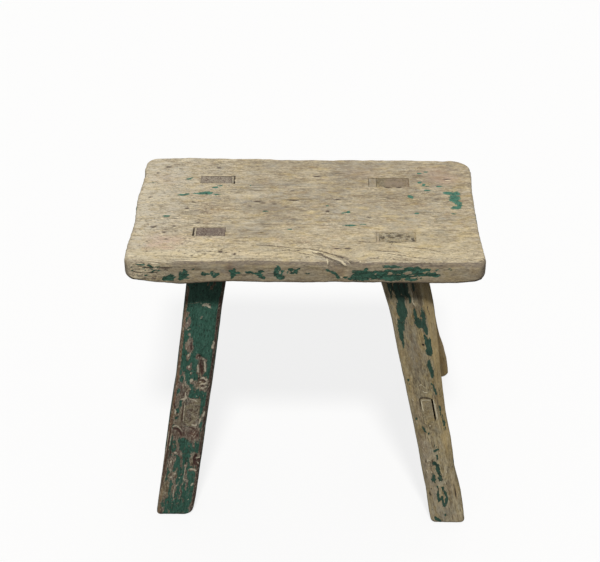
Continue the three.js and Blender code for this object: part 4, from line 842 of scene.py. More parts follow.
LEG_PALE_LINES = {
    "front_left": [([(1.6, 248.4), (7.2, 248.4), (12.4, 245.4)], 1.0, 1.0), ([(6.0, 248.7), (9.4, 248.1)], 0.9, 1.1), ([(-14, 250.6), (-1.3, 251.6), (16.6, 249.4)], 0.8, 0.62), ([(5.9, 181.8), (7.4, 171.5)], 0.9, 0.95), ([(12.6, 185.7), (15, 172.9)], 0.9, 1.0),
                   ([(19.2, 208.6), (20.1, 205.4), (18.8, 202.2), (20.3, 199.1)], 0.9, 1.0), ([(10.9, 165.1), (14, 166.5), (16.5, 163.3), (18.6, 165.2)], 0.85, 1.05), ([(11.5, 157.5), (12.9, 159.5), (15.8, 158.9), (17.8, 160.8)], 0.85, 1.05),
                   ([(12.0, 153.2), (13.8, 155), (15.8, 152.4)], 0.85, 1.0), ([(9.5, 161), (12.5, 162.3)], 0.8, 1.0), ([(16.5, 155.4), (18.6, 156.4)], 0.8, 1.0), ([(8.6, 156), (10, 152.5)], 0.8, 0.9),
                   ([(-13.6, 107.9), (-9, 109.9), (-5, 106.7), (-1.3, 100.7)], 0.9, 0.85), ([(-1.9, 137.1), (-2.3, 126.6), (-1.5, 116.0), (0.4, 112.0)], 1.0, 0.72), ([(-9.4, 139.6), (-1.3, 142.3), (6, 140.6), (12.5, 137.2)], 1.0, 0.85),
                   ([(16.4, 119.5), (15.4, 112.9), (11.6, 109.2), (7.1, 111.4)], 1.0, 1.05), ([(20, 126.8), (19, 120.8)], 1.1, 1.05), ([(15.1, 69.5), (21.8, 70)], 0.8, 1.1), ([(12.2, 57.6), (19.3, 55)], 1.2, 1.0), ([(-16, 102.5), (-16.5, 86.5), (-16, 71.6)], 0.9, 0.9),
                   ([(-13.2, 96), (-13.6, 84)], 0.7, 0.75), ([(6.2, 66), (6.9, 52.8), (6.0, 32.1)], 0.75, 0.78), ([(15.4, 36.8), (18, 40)], 1.1, 1.0), ([(-3.6, 150), (-2.6, 143), (-4.4, 138)], 1.0, 0.85), ([(-5.6, 163.7), (-3.4, 155)], 0.8, 0.7),
                   ([(-12.8, 129.6), (-11.2, 126.2), (-12.4, 123.2)], 0.8, 0.9), ([(-7.6, 123.6), (-9.8, 121.2)], 0.8, 0.9), ([(-1.2, 17), (-2.6, 26), (-1.8, 33)], 0.8, 0.7), ([(1.2, 44.0), (0.2, 31.0), (0.6, 24)], 0.6, 0.6)],
    "front_right": [([(9.9, 149.4), (10.4, 140), (11.0, 123.8)], 0.9, 0.95), ([(7.2, 274.6), (6.4, 258.3), (8.6, 252.5)], 0.8, 0.85), ([(20.6, 252), (22.8, 240), (22.9, 225)], 0.7, 0.85), ([(2.3, 52.9), (2.7, 48.1)], 0.6, 0.75), ([(4.8, 52.9), (4.9, 47.6)], 0.6, 0.75), ([(6.9, 52.3), (6.9, 47)], 0.6, 0.7),
                    ([(-8.6, 74.4), (-7.4, 77.0), (-5.2, 76.2)], 0.9, 1.0), ([(-8.2, 71.8), (-5.6, 70.2)], 0.8, 0.9), ([(-11.2, 66), (-9.4, 60)], 0.7, 0.8), ([(-5.6, 64.4), (-6.4, 60.4)], 0.7, 0.7), ([(-2.9, 164.0), (-0.6, 166.2), (2.0, 163.4), (5.4, 160.4)], 0.7, 0.8),
                    ([(-0.4, 158.6), (2.8, 156.6), (5.4, 157.2)], 0.8, 0.8), ([(-13.0, 150), (-11.0, 146)], 0.8, 0.8), ([(-6.8, 101), (-8.2, 95)], 0.7, 0.7)],
}
LEG_DOTS = {
    "front_left": [(2.9, 234, 1.3, 1.2), (-6.5, 214.8, 1.7, 2.0), (-0.6, 171.7, 1.2, 1.8), (-2.9, 178.5, 1.9, 2.6), (1.3, 163.1, 2.8, 3.2), (-5.3, 191.9, 2.0, 2.8), (10.9, 187.6, 1.5, 1.6), (-7.0, 222, 1.1, 1.2), (-1.2, 168, 1.0, 1.2), (20.1, 63.2, 1.7, 1.8),
                   (1.9, 46.6, 1.5, 1.5), (-0.3, 36.9, 1.2, 1.8), (17, 89.5, 1.2, 1.3), (11.8, 77.3, 1.3, 1.2), (-9.4, 206.5, 1.0, 1.6), (-8.4, 199.6, 1.3, 1.6), (-5.6, 207.2, 1.4, 1.3), (-10.6, 228.6, 1.6, 1.6), (-9.2, 221.0, 1.4, 1.6),
                   (-5.9, 77.1, 3.0, 1.6), (-9.8, 66.0, 1.6, 3.4), (-7.4, 47.0, 1.6, 2.8), (-3.6, 51.6, 2.6, 1.6), (9.4, 145, 1.2, 1.4), (1.4, 152.6, 1.3, 1.6), (-8.8, 171.5, 0.9, 1.3), (14.6, 19.6, 1.0, 1.4), (3.8, 15.6, 0.9, 1.6)],
    "front_right": [(-13.6, 166, 1.0, 1.4), (6.4, 86.0, 1.2, 1.0), (-9.6, 92, 1.2, 1.6), (10.4, 62.5, 1.2, 1.8), (-2.2, 153.6, 1.6, 1.0), (12.4, 53, 1.2, 2.2), (1.4, 118.2, 2.2, 1.6)],
}
BR_GREEN = [(-10, 240, 5, 18), (6, 220, 3, 14), (-6, 150, 3.6, 16), (8, 96, 4, 10), (-2, 48, 5, 12), (10, 20, 4, 6), (2, 276, 9, 9)]


def leg_marks(name, u, z, fr):
    """Pale and dark marks of a leg's front face, shared with the tenon end that shows in it."""
    q2 = np.stack([u, z], 1)
    lip = np.maximum(marks(q2, LEG_PALE_LINES.get(name, [])), (blobs(u, z, [(a, b, 0.82 * c, 0.82 * d) for a, b, c, d in LEG_DOTS[name]]) + 0.25) if name in LEG_DOTS else -1.0)
    crease = marks(q2, LEG_DARK_LINES.get(name, []))
    return lip * fr - (1 - fr), crease * fr - (1 - fr)


def leg_fields(obj, name, leg):
    p = co(obj) - SHIFT
    n = vertex_normals(obj)
    z = p[:, 2]
    cx, cy = axis(leg, z)
    u, w = p[:, 0] - cx, p[:, 1] - cy
    local = np.stack([u, w, z], 1)
    x0, x1 = np.interp(z, leg["tab"][:, 0], leg["tab"][:, 1]), np.interp(z, leg["tab"][:, 0], leg["tab"][:, 2])
    fr, bk = smooth(0.45, 0.8, -n[:, 1]), smooth(0.45, 0.8, n[:, 1])
    rt, lf = smooth(0.45, 0.8, n[:, 0]), smooth(0.45, 0.8, -n[:, 0])
    sole, tip = (n[:, 2] < -0.7) & (z < 6), z > UNDER + 1
    seed = 400 + 50 * list(LEGS).index(name)
    # how far into the arris between two faces a point is
    el = smooth(x0 + 4.8, x0 + 2.6, u)
    er = smooth(x1 - 5.0, x1 - 2.8, u)
    edge = np.clip(1 - np.abs(np.abs(n[:, 0]) - np.abs(n[:, 1])) * 1.6, 0, 1) * (np.abs(n[:, 2]) < 0.6)
    zero = np.zeros(len(p))
    tone, dark, warm, gold, wear_and_light, ash = zero + 0.2 * fbm(local, (16, 16, 50), 3, seed), zero.copy(), zero.copy(), zero.copy(), zero.copy(), zero.copy()
    mid = fbm(local, (9, 9, 26), 3, seed + 1)
    wu, wz = 1.6 * fbm(local, (5, 5, 7), 3, seed + 31), 2.4 * fbm(local, (5, 5, 8), 3, seed + 32)
    if name == "front_left":
        el, er = el * smooth(276, 256, z), np.where(z > 258, smooth(x1 - 3.4, x1 - 1.6, u), er)
        f = np.minimum(0.85 - 0.37 * smooth(104, 88, z), -1.7 * blobs(u + wu, z + wz, FL_BARE))
        f = np.minimum(f, 0.9 - 1.6 * np.clip(bumps(u, z, [(10, 276, 5, 9, 1.0), (2, 268, 9, 3, 0.5)]), 0, 1) * smooth(0.0, 0.5, fbm(local, (3, 3, 4), 3, seed + 44)))
        f = np.maximum(f, 1.7 * blobs(u + wu, z + wz, FL_GREEN))
        f = np.where(el > 0.3, np.minimum(f, -0.5 + 0.7 * mid), f)
        f = np.where(er > 0.3, np.minimum(f, -0.6 + 0.4 * mid), f)
        others = 0.55 + 1.3 * fbm(local, (10, 10, 30), 3, seed + 2) - 0.6 * smooth(120, 20, z) - 0.9 * edge
        paint = np.maximum(np.clip(f, -1, 1) * fr - (1 - fr), np.clip(others, -1, 1) * (1 - fr) - fr)
        # Partly painted shade: the right arris and the inward right face are darkened as shade; the slight darkening of
        # the left arris is the worn brown wood.
        dark = fr * np.maximum(er * 0.80, el * 0.10) + 0.45 * rt * (mid > 0.1)
        dark = np.maximum(dark, fr * np.clip(2.2 * blobs(u, z, [(6.6, 190.4, 3.0, 2.4), (18, 70, 4.6, 6.6), (9.6, 184, 2.0, 3), (15.6, 62, 2.5, 3), (12.5, 170, 1.2, 6)]), 0, 0.95))
        dark = np.maximum(dark, fr * np.clip(1.6 * blobs(u, z, [(-14.4, 96, 1.2, 26), (-13.6, 112, 2.4, 3), (-9, 107, 4, 2.2), (10.6, 99, 7, 8), (-3, 107, 4, 2), (10, 174, 4, 8), (-3.5, 203, 1.6, 5), (-15.6, 190, 1.4, 24), (-15, 60, 1.2, 14)]), 0, 0.42))
        warm = 0.75 * fr * bumps(u, z, [(-9.6, 228, 4, 9, 0.9), (-5.6, 202, 5, 8, 0.9), (-2.8, 178, 3, 4, 0.7), (-6, 104, 8, 9, 0.5), (-4, 77, 7, 6, 0.5), (-10, 45, 7, 26, 0.12), (10.6, 100, 9, 9, 0.5), (-10, 150, 6, 14, 0.4)])
        gold = fr * bumps(u, z, [(5.0, 122, 7, 9, 0.9), (0, 128, 6, 8, 0.5), (-8, 130, 6, 16, 0.35), (12, 117, 5, 5, 0.4), (11, 172, 3, 8, 0.4), (-11, 34, 6, 20, 0.4)]) + el * fr * (0.35 + 0.35 * smooth(86, 50, z))
        tone = tone + fr * bumps(u, z, [(8.1, 248.2, 3.6, 1.4, 0.9), (13, 158, 7, 8, 0.5), (-6.4, 214.9, 1.4, 1.6, 0.8), (6, 112, 9, 4, 0.4), (3.2, 234, 1.2, 1, 0.8), (16, 71, 2, 2, 0.8), (6, 126, 9, 16, -0.3), (-6, 136, 9, 26, -0.3), (8, 176, 8, 12, -0.2), (0, 20, 18, 40, 0.05)])
    elif name == "front_right":
        f = 2.0 * blobs(u + 0.45 * wu, z + 0.7 * wz, FR_GREEN)
        pl = np.stack([u + 0.5 * wu, z + 0.5 * wz], 1)
        broken = 0.8 * fbm(local, (2.6, 2.6, 4.2), 3, seed + 41)
        for line, w2, strength in FR_PAINT_LINES:
            r2, share = polyline_distance(pl, line)
            f = np.maximum(f, strength * (1 - r2 / (1.1 * w2)) + broken * (r2 < 3 * w2))
        f = f - 0.7 * np.clip(bumps(u, z, [(10.5, 242, 5.0, 8, 1.0)]), 0, 1) * smooth(0.0, 0.4, fbm(local, (1.8, 1.8, 4.0), 3, seed + 45))
        others = -0.55 + 1.3 * fbm(local, (6, 6, 40), 3, seed + 2) + 0.35 * smooth(200, 280, z)
        paint = np.maximum(np.clip(f, -1, 1) * np.maximum(fr, er * smooth(0.1, 0.5, -n[:, 1])) - (1 - np.maximum(fr, er * smooth(0.1, 0.5, -n[:, 1]))), np.clip(others, -1, 1) * (bk + 0.4 * lf + rt * 0.6) - 1 + (bk + 0.4 * lf + rt * 0.6))
        facet = smooth(0, 2.5, u - np.interp(z, [29, 65, 113, 155, 211, 256], [12.2, 11.4, 12.4, 13.8, 16.4, 17.4])) * (n[:, 1] < 0.2)
        gold = facet * (0.14 + 0.50 * smooth(62, 92, z) + 0.30 * smooth(100, 170, z)) + fr * bumps(u, z, [(-14, 190, 5, 70, 0.4), (8, 216, 4, 14, 0.6), (10, 242, 1.6, 5, 1.0), (14, 104, 3.4, 20, 0.75)])
        # Painted shadow: darker towards the seat from z 150 to 230, and a dark diagonal patch at the top right from the
        # first four spots; the other spots are dark marks, holes and splits.
        dark = fr * np.clip(0.10 * smooth(150, 230, z) + 1.7 * blobs(u, z, [(12.6, 270, 4, 12), (9.6, 272, 3.2, 13), (14.2, 260, 2.6, 7), (13.0, 281, 4, 8), (-18, 272, 1.0, 14), (9.3, 211, 1.3, 1.5), (15.9, 37, 1.5, 11), (-11.6, 36, 1.1, 3.8), (-6.4, 71, 1.0, 1.6), (-3.2, 76, 0.8, 4), (-9.6, 76, 0.7, 3.4), (0, 268, 1.1, 14)]), 0, 0.82)
        dark = np.maximum(dark, fr * 0.34 * np.clip(bumps(u, z, [(12, 240, 5, 14, 1.0)]), 0, 1))
        tone = tone + fr * bumps(u, z, [(-2, 180, 9, 26, -0.12), (5, 112, 8, 9, -0.25), (-8, 110, 7, 20, -0.2), (-6, 190, 5, 14, -0.15), (4.6, 49, 3, 3.5, 0.2), (10, 242, 1.5, 5, 0.4), (0, 14, 16, 14, -0.1), (-6.4, 76, 1.4, 3, 0.5), (-10, 134, 6, 10, -0.25)])
        # Painted light: the front face is lighter inside the seat's cast shadow above z 256, except across u 5 to 18;
        # below z 110 it is darker.
        tone = tone + 1.0 * fr * smooth(256, 268, z) * (1 - 0.9 * smooth(5, 8, u) * smooth(18, 15, u)) - 0.12 * fr * smooth(110, 84, z)
        ash = fr * 0.20 * smooth(118, 88, z) * (1 - 0.6 * facet * smooth(56, 84, z))
        warm = fr * bumps(u, z, [(-2, 196, 8, 18, 0.15), (-8, 140, 8, 16, 0.35), (14, 230, 3, 8, 0.5), (-8, 60, 7, 30, 0.45), (-9, 96, 6, 12, 0.35)])
        # The left arris is darker low down; all the darkening is cut back inside the seat's cast shadow above z 252, a
        # painted light.
        dark = np.maximum(dark, 0.35 * el * fr * (mid > 0.2) * smooth(80, 20, z)) * (1 - 0.6 * smooth(252, 264, z))
        dark = np.maximum(dark, 0.07 * facet * smooth(90, 120, z) * smooth(250, 235, z))
        # Painted light: the left face, in shade, is lightened with tone, the pale wear colour and gold.
        tone = tone + 1.0 * lf
        wear_and_light = wear_and_light + 0.75 * lf
        gold = gold + 0.4 * lf
    elif name == "back_right":
        f = np.maximum(1.5 * blobs(u, z, BR_GREEN), -0.45 + 1.5 * fbm(local, (6, 6, 34), 3, seed + 2) + 0.3 * smooth(220, 280, z))
        # Partly painted light: the outer right face and the right of the front face, in shade, are lightened through
        # tone, wear and gold; their missing paint and brown, warm colour are the bare wood's own.
        face = np.maximum(rt, fr * smooth(-4, 2, u))
        paint = np.clip(f, -1, 1) - 0.5 * edge - 1.6 * face
        gold = 1.0 * face + 0.6 * edge
        warm = 0.2 * face
        dark = 0.25 * smooth(0.2, 0.9, mid) * (1 - face)
        tone = tone - 0.10 + 0.9 * face
        wear_and_light = 0.25 * rt
    else:
        f = 0.35 + 1.5 * fbm(local, (9, 9, 30), 3, seed + 2) - 0.9 * edge - 0.5 * smooth(60, 10, z)
        paint = np.clip(f, -1, 1)
        dark = 0.45 * edge * (mid > -0.2) + 0.25 * smooth(0.2, 0.9, mid)
        warm = 0.4 * smooth(-0.2, 0.6, fbm(local, (12, 12, 30), 2, seed + 3))
        gold = 0.3 * smooth(0, 0.8, fbm(local, (12, 12, 30), 2, seed + 4))
    wear_and_light = wear_and_light + 0.35 * edge * smooth(-0.2, 0.7, fbm(local, (8, 8, 20), 3, seed + 6))
    lip, crease = leg_marks(name, u, z, fr)
    brown = zero.copy()
    if name == "front_left":
        brown = fr * np.clip((0.8 - 0.25 * smooth(86, 50, z)) * el + bumps(u, z, [(12, 100, 7, 7, 0.7), (-3, 99, 5, 5, 0.5), (10.5, 175, 4, 9, 0.4), (18, 58, 3, 6, 0.6), (5.5, 150.8, 3, 2, 0.6), (-15, 160, 3, 60, 0.4)]), 0, 1)
        tone = tone + fr * 0.04 * smooth(104, 84, z)
        dark = np.maximum(dark, 0.10 * fr * smooth(218, 196, z))
    if name == "back_right":
        brown = face * (0.45 + 0.50 * smooth(150, 190, z))
    if name == "front_right":
        brown = fr * np.clip(bumps(u, z, [(16, 35, 2.4, 8, 0.7), (-12, 36, 2, 4, 0.6), (14, 152, 2.5, 8, 0.4)]), 0, 1)
    paint[sole | tip] = -1
    wear_and_light[tip] = 0
    dark[sole] = 0.35
    # inside the stretcher's slot: no paint, and painted shade on its walls
    st = STRETCHERS["left" if name.endswith("left") else "right"]
    mx = rail_x(st, p[:, 1], z)
    slot = (np.abs(p[:, 0] - mx) < st["t"] / 2 + st["slack"] + 0.8) & (np.abs(z - st["z"]) < st["h"] / 2 + 1.0)
    deep = slot & (np.abs(w) < LEG_D / 2 - 0.9)
    paint[deep], dark[deep] = -1, 0.98 if name == "front_right" else 0.8
    # tenon end in the seat
    tipk = {"front_left": (0.95, 0.10, 0.10), "front_right": (0.15, 0.10, 0.0), "back_right": (0.75, -0.22, 0.1), "back_left": (0.75, 0.55, 0.0)}[name]
    warm[tip], tone[tip], dark[tip] = tipk[0], tipk[1], tipk[2]
    if name == "back_left":
        wear_and_light[tip] = 0.30
    if name == "back_right":
        warm[tip] = 0.15 + 0.75 * smooth(-6, -2, u[tip])
        tone[tip] = -0.05 - 0.25 * smooth(-6, -2, u[tip])
    if name == "front_right":
        wear_and_light[tip], ash[tip] = 0.10, 0.35
        dark[tip] = np.clip(0.75 * smooth(0.0, 0.5, fbm(local[tip], (3.4, 2.6, 4), 3, 77)) + 0.8 * np.clip(blobs(u[tip], w[tip], [(5, 0.5, 2.4, 2.4), (18, -5, 2.2, 2), (-2, -8, 5, 1.2)]), 0, 1), 0, 0.9)
    # Painted shade on the tenon's sides inside the mortise, strong on the left legs and light on the right.
    side_tip = tip & (n[:, 2] < 0.6)
    dark[side_tip] = 0.22 if name.endswith("right") else 0.8
    k = np.zeros(len(p))
    for ku, kz, kr in {"front_left": [(16, 68, 7), (7, 188, 6)], "front_right": [(-6.4, 74, 7), (5, 49, 5)], "back_right": [(0, 90, 8)], "back_left": [(4, 150, 8)]}[name]:
        r = np.hypot((u - ku), (z - kz) / 1.8)
        k += np.sign(u - ku) * 4.5 * np.exp(-((r / kr) ** 2))
    grain = np.stack([u + k + 1.2 * fbm(local, (30, 30, 80), 2, seed + 8), w + 60.0 * (seed % 7), z], 1)
    put(obj, crease=crease, lip=lip, brown=brown, ash=ash, tint=0.5 + 0.5 * mid, grain=grain, paint=np.clip(paint, -1, 1), tone=np.clip(tone, -1, 1), dark=np.clip(dark, 0, 1), warm=np.clip(warm, 0, 1), wear_and_light=np.clip(wear_and_light, 0, 1), gold=np.clip(gold, 0, 1))


def leg_region(name, leg):
    st = STRETCHERS["left" if name.endswith("left") else "right"]

    def region(c, n):
        r = np.zeros(len(c), int)
        cx, cy = axis(leg, c[:, 2])
        mx = rail_x(st, c[:, 1], c[:, 2])
        r[(np.abs(c[:, 0] - mx) < st["t"] / 2 + st["slack"] + 1.2) & (np.abs(c[:, 2] - st["z"]) < st["h"] / 2 + 1.4) & (np.abs(n[:, 1]) < 0.7)] = 2
        r[(c[:, 2] > UNDER + 1) & (n[:, 2] > 0.6)] = 1
        r[(c[:, 2] > UNDER + 1) & (n[:, 2] <= 0.6)] = 3
        return r

    return region


# ------------------------------------------------------------------ wedges
def wedge_shape(name, leg, seed):
    u, s = leg["u"], leg["wedge"]

    def span(t):
        return (u[0] + leg["slack"], u[0] + leg["slack"] + t) if s < 0 else (u[1] - leg["slack"] - t, u[1] - leg["slack"])

    F, T = span(leg["wf"]), span(leg["wt"])
    w = leg["v"] / 2 - 0.1
    nx, ny, nz = (10 if leg["wt"] > 5 else 5), 26, 18
    I, J, K, q = box_grid(nx, ny, nz)
    z0, z1 = WEDGE_FOOT + 0.3, TOP - 0.3
    t = K / nz
    z = z0 + (z1 - z0) * t
    x0, x1 = F[0] + (T[0] - F[0]) * t, F[1] + (T[1] - F[1]) * t
    a, b = x0 + (x1 - x0) * I / nx, (-w + 2 * w * J / ny)
    a, b = round_corners(a, b, x0, x1, -w, w, [np.full(len(a), 0.35)] * 4)
    cx, cy = axis(leg, z)
    v = np.stack([cx + a, cy + b, z], 1)
    n = normals(v, q)
    tip = K == nz
    d = 0.05 * fbm(v, (1.2, 1.2, 9), 3, seed) + tip * (0.16 * fbm(v, (1.4, 2.5, 3), 3, seed + 1) - 0.16)
    v = v + n * d[:, None]
    if name == "back_right":
        v[:, 2] -= tip * 0.5 * smooth(-0.1, 0.8, fbm(v, (3, 3, 3), 2, seed + 2))
    return v, q


def small_fields(obj, seed, along, paint=None, tone=0.0, dark=0.0, warm=0.0, gold=0.0, lip=None, crease=None):
    p = co(obj) - SHIFT
    n = vertex_normals(obj)
    order = {"x": [1, 2, 0], "y": [0, 2, 1], "z": [0, 1, 2]}[along]
    grain = p[:, order] + np.array([17.0 * (seed % 11), 9.0 * (seed % 5), 0])
    base = fbm(p, (9, 9, 9), 3, seed)
    off = np.full(len(p), -1.0)
    put(obj, lip=off if lip is None else lip(p, n), crease=off if crease is None else crease(p, n))
    put(obj, ash=0 * base, tint=0.5 + 0 * base, grain=grain, paint=(np.full(len(p), -1.0) if paint is None else paint(p, n)), tone=np.clip(tone + 0.2 * base, -1, 1),
        dark=np.clip((dark(p, n) if callable(dark) else dark + 0.12 * smooth(0, 0.8, base)) + 0 * base, 0, 1), warm=warm + 0 * base, wear_and_light=0 * base, gold=(gold(p, n) if callable(gold) else gold + 0 * base))


# ------------------------------------------------------------------ materials
class Graph:
    def __init__(self, name):
        self.mat = bpy.data.materials.new(name)
        self.mat.use_nodes = True
        self.nt = self.mat.node_tree
        self.nt.nodes.clear()

    def node(self, kind, inputs=(), **props):
        n = self.nt.nodes.new(kind)
        for k, v in props.items():
            setattr(n, k, v)
        for k, v in dict(inputs).items():
            self.put(n.inputs[k], v)
        return n

    def put(self, socket, v):
        if isinstance(v, bpy.types.NodeSocket):
            self.nt.links.new(v, socket)
        elif socket.type == "RGBA" and len(v) == 3:
            socket.default_value = (*v, 1)
        else:
            socket.default_value = v

    def math(self, op, a, b=0.0, c=0.0, clamp=False):
        n = self.node("ShaderNodeMath", {0: a, 1: b, 2: c}, operation=op, use_clamp=clamp)
        return n.outputs[0]

    def mix(self, f, a, b, blend="MIX"):
        n = self.node("ShaderNodeMix", data_type="RGBA", blend_type=blend, clamp_factor=True)
        self.put(n.inputs["Factor"], f)
        self.put(n.inputs[6], a)
        self.put(n.inputs[7], b)
        return n.outputs[2]

    def span(self, v, lo, hi, a=0.0, b=1.0, kind="SMOOTHSTEP"):
        n = self.node("ShaderNodeMapRange", {0: v, 1: lo, 2: hi, 3: a, 4: b}, interpolation_type=kind)
        n.clamp = kind == "LINEAR"
        return n.outputs[0]

    def attr(self, name, vector=False):
        n = self.node("ShaderNodeAttribute", attribute_name=name)
        return n.outputs["Vector" if vector else "Fac"]

    def noise(self, vec, size, detail=4.0, rough=0.55, shift=0.0, distort=0.0):
        s = self.node("ShaderNodeVectorMath", {0: vec, 1: tuple(1 / k for k in size)}, operation="MULTIPLY")
        a = self.node("ShaderNodeVectorMath", {0: s.outputs[0], 1: (shift, shift * 1.7, shift * 0.6)}, operation="ADD")
        n = self.node("ShaderNodeTexNoise", {"Vector": a.outputs[0], "Scale": 1.0, "Detail": detail, "Roughness": rough, "Distortion": distort})
        return n.outputs[0]

    def cells(self, vec, size, feature="F1", shift=0.0, randomness=1.0):
        s = self.node("ShaderNodeVectorMath", {0: vec, 1: tuple(1 / k for k in size)}, operation="MULTIPLY")
        a = self.node("ShaderNodeVectorMath", {0: s.outputs[0], 1: (shift, shift * 1.3, shift * 0.7)}, operation="ADD")
        n = self.node("ShaderNodeTexVoronoi", {"Vector": a.outputs[0], "Scale": 1.0, "Randomness": randomness}, feature=feature)
        return n.outputs["Distance"]


def wood(name, dark, mid, light, grey, stain_and_shade_col, warm_col, gold_col, wear_and_light_col, paint_a, paint_b, ash_col=(0.56, 0.52, 0.43), shift=0.0, ring=4.2, pith=(0.0, -70.0), contrast=1.0, rough=0.86, chips=0.5, fibre=(2.4, 2.4, 13.0), bump=1.0, speck=1.0, ragged_paint=1.0, streak=0.42, hue_amount=1.0, paint_grit=1.0, busy=0.0, crease_col=(0.10, 0.075, 0.055), lip_col=(0.80, 0.70, 0.49), line_mix=0.80, brown_mul=(0.66, 0.52, 0.42), soft=0.14):
    g = Graph(name)
    v = g.attr("grain", True)
    tone, stain_and_shade, warm, wear_and_light, gold, paint, tint, ash = (g.attr(k) for k in ("tone", "dark", "warm", "wear_and_light", "gold", "paint", "tint", "ash"))
    flecks, brown, creases, lips = g.attr("flecks"), g.attr("brown"), g.attr("crease"), g.attr("lip")

    f1 = g.noise(v, fibre, 6, 0.62, shift)
    f2 = g.noise(v, (fibre[0] * 0.5, fibre[1] * 0.5, fibre[2] * 0.28), 4, 0.62, shift + 5)
    f3 = g.noise(v, (fibre[0] * 2.2, fibre[1] * 2.2, fibre[2] * 3.2), 5, 0.6, shift + 9)
    grit = g.noise(v, (1.7, 1.7, 3.4), 4, 0.66, shift + 17)
    mottle = g.noise(v, (7, 7, 16), 5, 0.6, shift + 13)
    low = g.noise(v, (38, 38, 80), 3, 0.5, shift + 21)
    fine = g.noise(v, (0.7, 0.7, 1.6), 3, 0.6, shift + 31)

    # growth rings
    sep = g.node("ShaderNodeSeparateXYZ", {0: v})
    rx = g.math("SUBTRACT", sep.outputs[0], pith[0])
    ry = g.math("SUBTRACT", sep.outputs[1], pith[1])
    rad = g.math("SQRT", g.math("ADD", g.math("MULTIPLY", rx, rx), g.math("MULTIPLY", ry, ry)))
    wob = g.noise(v, (26, 26, 120), 3, 0.5, shift + 41)
    rr = g.math("ADD", g.math("DIVIDE", rad, ring), g.math("MULTIPLY", wob, 5.0))
    saw = g.math("FRACT", rr)
    late = g.math("MULTIPLY", g.span(saw, 0.55, 0.95), g.span(saw, 1.0, 0.96))

    t = 0.5
    for n, w in ((f1, 0.75), (f2, 0.46), (f3, streak), (mottle, 0.38), (grit, 0.54)):
        t = g.math("ADD", t, g.math("MULTIPLY", g.math("SUBTRACT", n, 0.5), w * contrast))
    t = g.math("SUBTRACT", t, g.math("MULTIPLY", late, 0.045 * contrast))
    t = g.math("ADD", t, g.math("MULTIPLY", tone, 0.20))
    ramp = g.node("ShaderNodeValToRGB", {0: t})
    el = ramp.color_ramp.elements
    el[0].position, el[0].color = 0.30, (*dark, 1)
    el[1].position, el[1].color = 0.72, (*light, 1)
    e = el.new(0.50); e.color = (*mid, 1)
    col = ramp.outputs[0]

    # grey weathering, in the low places and where tone says so
    weather = g.math("ADD", g.span(low, 0.46, 0.64), g.math("MULTIPLY", tone, -1.1))
    weather = g.math("MULTIPLY", g.math("MULTIPLY", weather, g.span(mottle, 0.32, 0.62), clamp=True), 0.50)
    col = g.mix(weather, col, grey)
    # patches that lean yellow, rosy or blue-grey
    hue = g.noise(v, (11, 11, 26), 4, 0.6, shift + 25)
    col = g.mix(g.span(hue, 0.52, 0.64, 0.0, min(1.0, 0.50 * hue_amount)), col, g.mix(1.0, col, (1.08, 1.00, 0.73), "MULTIPLY"))
    col = g.mix(g.span(hue, 0.47, 0.34, 0.0, min(1.0, 0.60 * hue_amount)), col, g.mix(1.0, col, (0.86, 0.93, 1.05), "MULTIPLY"))
    hue2 = g.noise(v, (4.2, 4.2, 6.5), 3, 0.6, shift + 29)
    col = g.mix(g.span(hue2, 0.53, 0.66, 0.0, min(1.0, 0.42 * hue_amount)), col, g.mix(1.0, col, (1.07, 1.00, 0.76), "MULTIPLY"))
    col = g.mix(g.span(hue2, 0.47, 0.34, 0.0, min(1.0, 0.50 * hue_amount)), col, g.mix(1.0, col, (0.87, 0.92, 1.03), "MULTIPLY"))
    col = g.mix(g.span(g.noise(v, (9, 9, 15), 3, 0.6, shift + 27), 0.55, 0.68, 0.0, 0.5), col, g.mix(1.0, col, (1.03, 0.94, 0.89), "MULTIPLY"))
    col = g.mix(g.math("MULTIPLY", ash, g.span(g.math("ADD", g.math("MULTIPLY", f1, 0.5), g.math("MULTIPLY", mottle, 0.5)), 0.40, 0.60, 0.15, 0.85)), col, ash_col)
    # pink, yellow and pale areas: real wear, and painted light on the legs' shaded faces
    col = g.mix(g.math("MULTIPLY", warm, g.span(mottle, 0.36, 0.56, 0.55, 1.0)), col, g.mix(0.65, col, warm_col))
    col = g.mix(g.math("MULTIPLY", gold, g.span(f3, 0.36, 0.56, 0.5, 1.0)), col, g.mix(0.68, col, gold_col))
    col = g.mix(g.math("MULTIPLY", wear_and_light, g.span(f1, 0.38, 0.60, 0.25, 0.85)), col, wear_and_light_col)
    col = g.mix(g.math("MULTIPLY", brown, g.span(mottle, 0.35, 0.55, 0.4, 0.85)), col, g.mix(1.0, col, brown_mul, "MULTIPLY"))
    # small dark flecks, each with a painted highlight on its near side: a pale lip that stands in for light catching
    # the raised rim
    iso = (1.9, 2.6, 3.0)
    fl1 = g.noise(v, iso, 3, 0.60, shift + 131)
    moved = g.node("ShaderNodeVectorMath", {0: v, 1: (1.3, 0.9, 0.4)}, operation="ADD").outputs[0]
    fl2 = g.noise(moved, iso, 3, 0.60, shift + 131)
    fleck = g.math("MULTIPLY", g.span(fl1, 0.55, 0.63), flecks)
    lip = g.math("MULTIPLY", g.math("MULTIPLY", g.span(fl2, 0.55, 0.63), flecks), g.math("SUBTRACT", 1.0, g.span(fl1, 0.54, 0.60)))
    col = g.mix(g.math("MULTIPLY", fleck, 0.50), col, stain_and_shade_col)
    col = g.mix(g.math("MULTIPLY", lip, 0.60), col, wear_and_light_col)
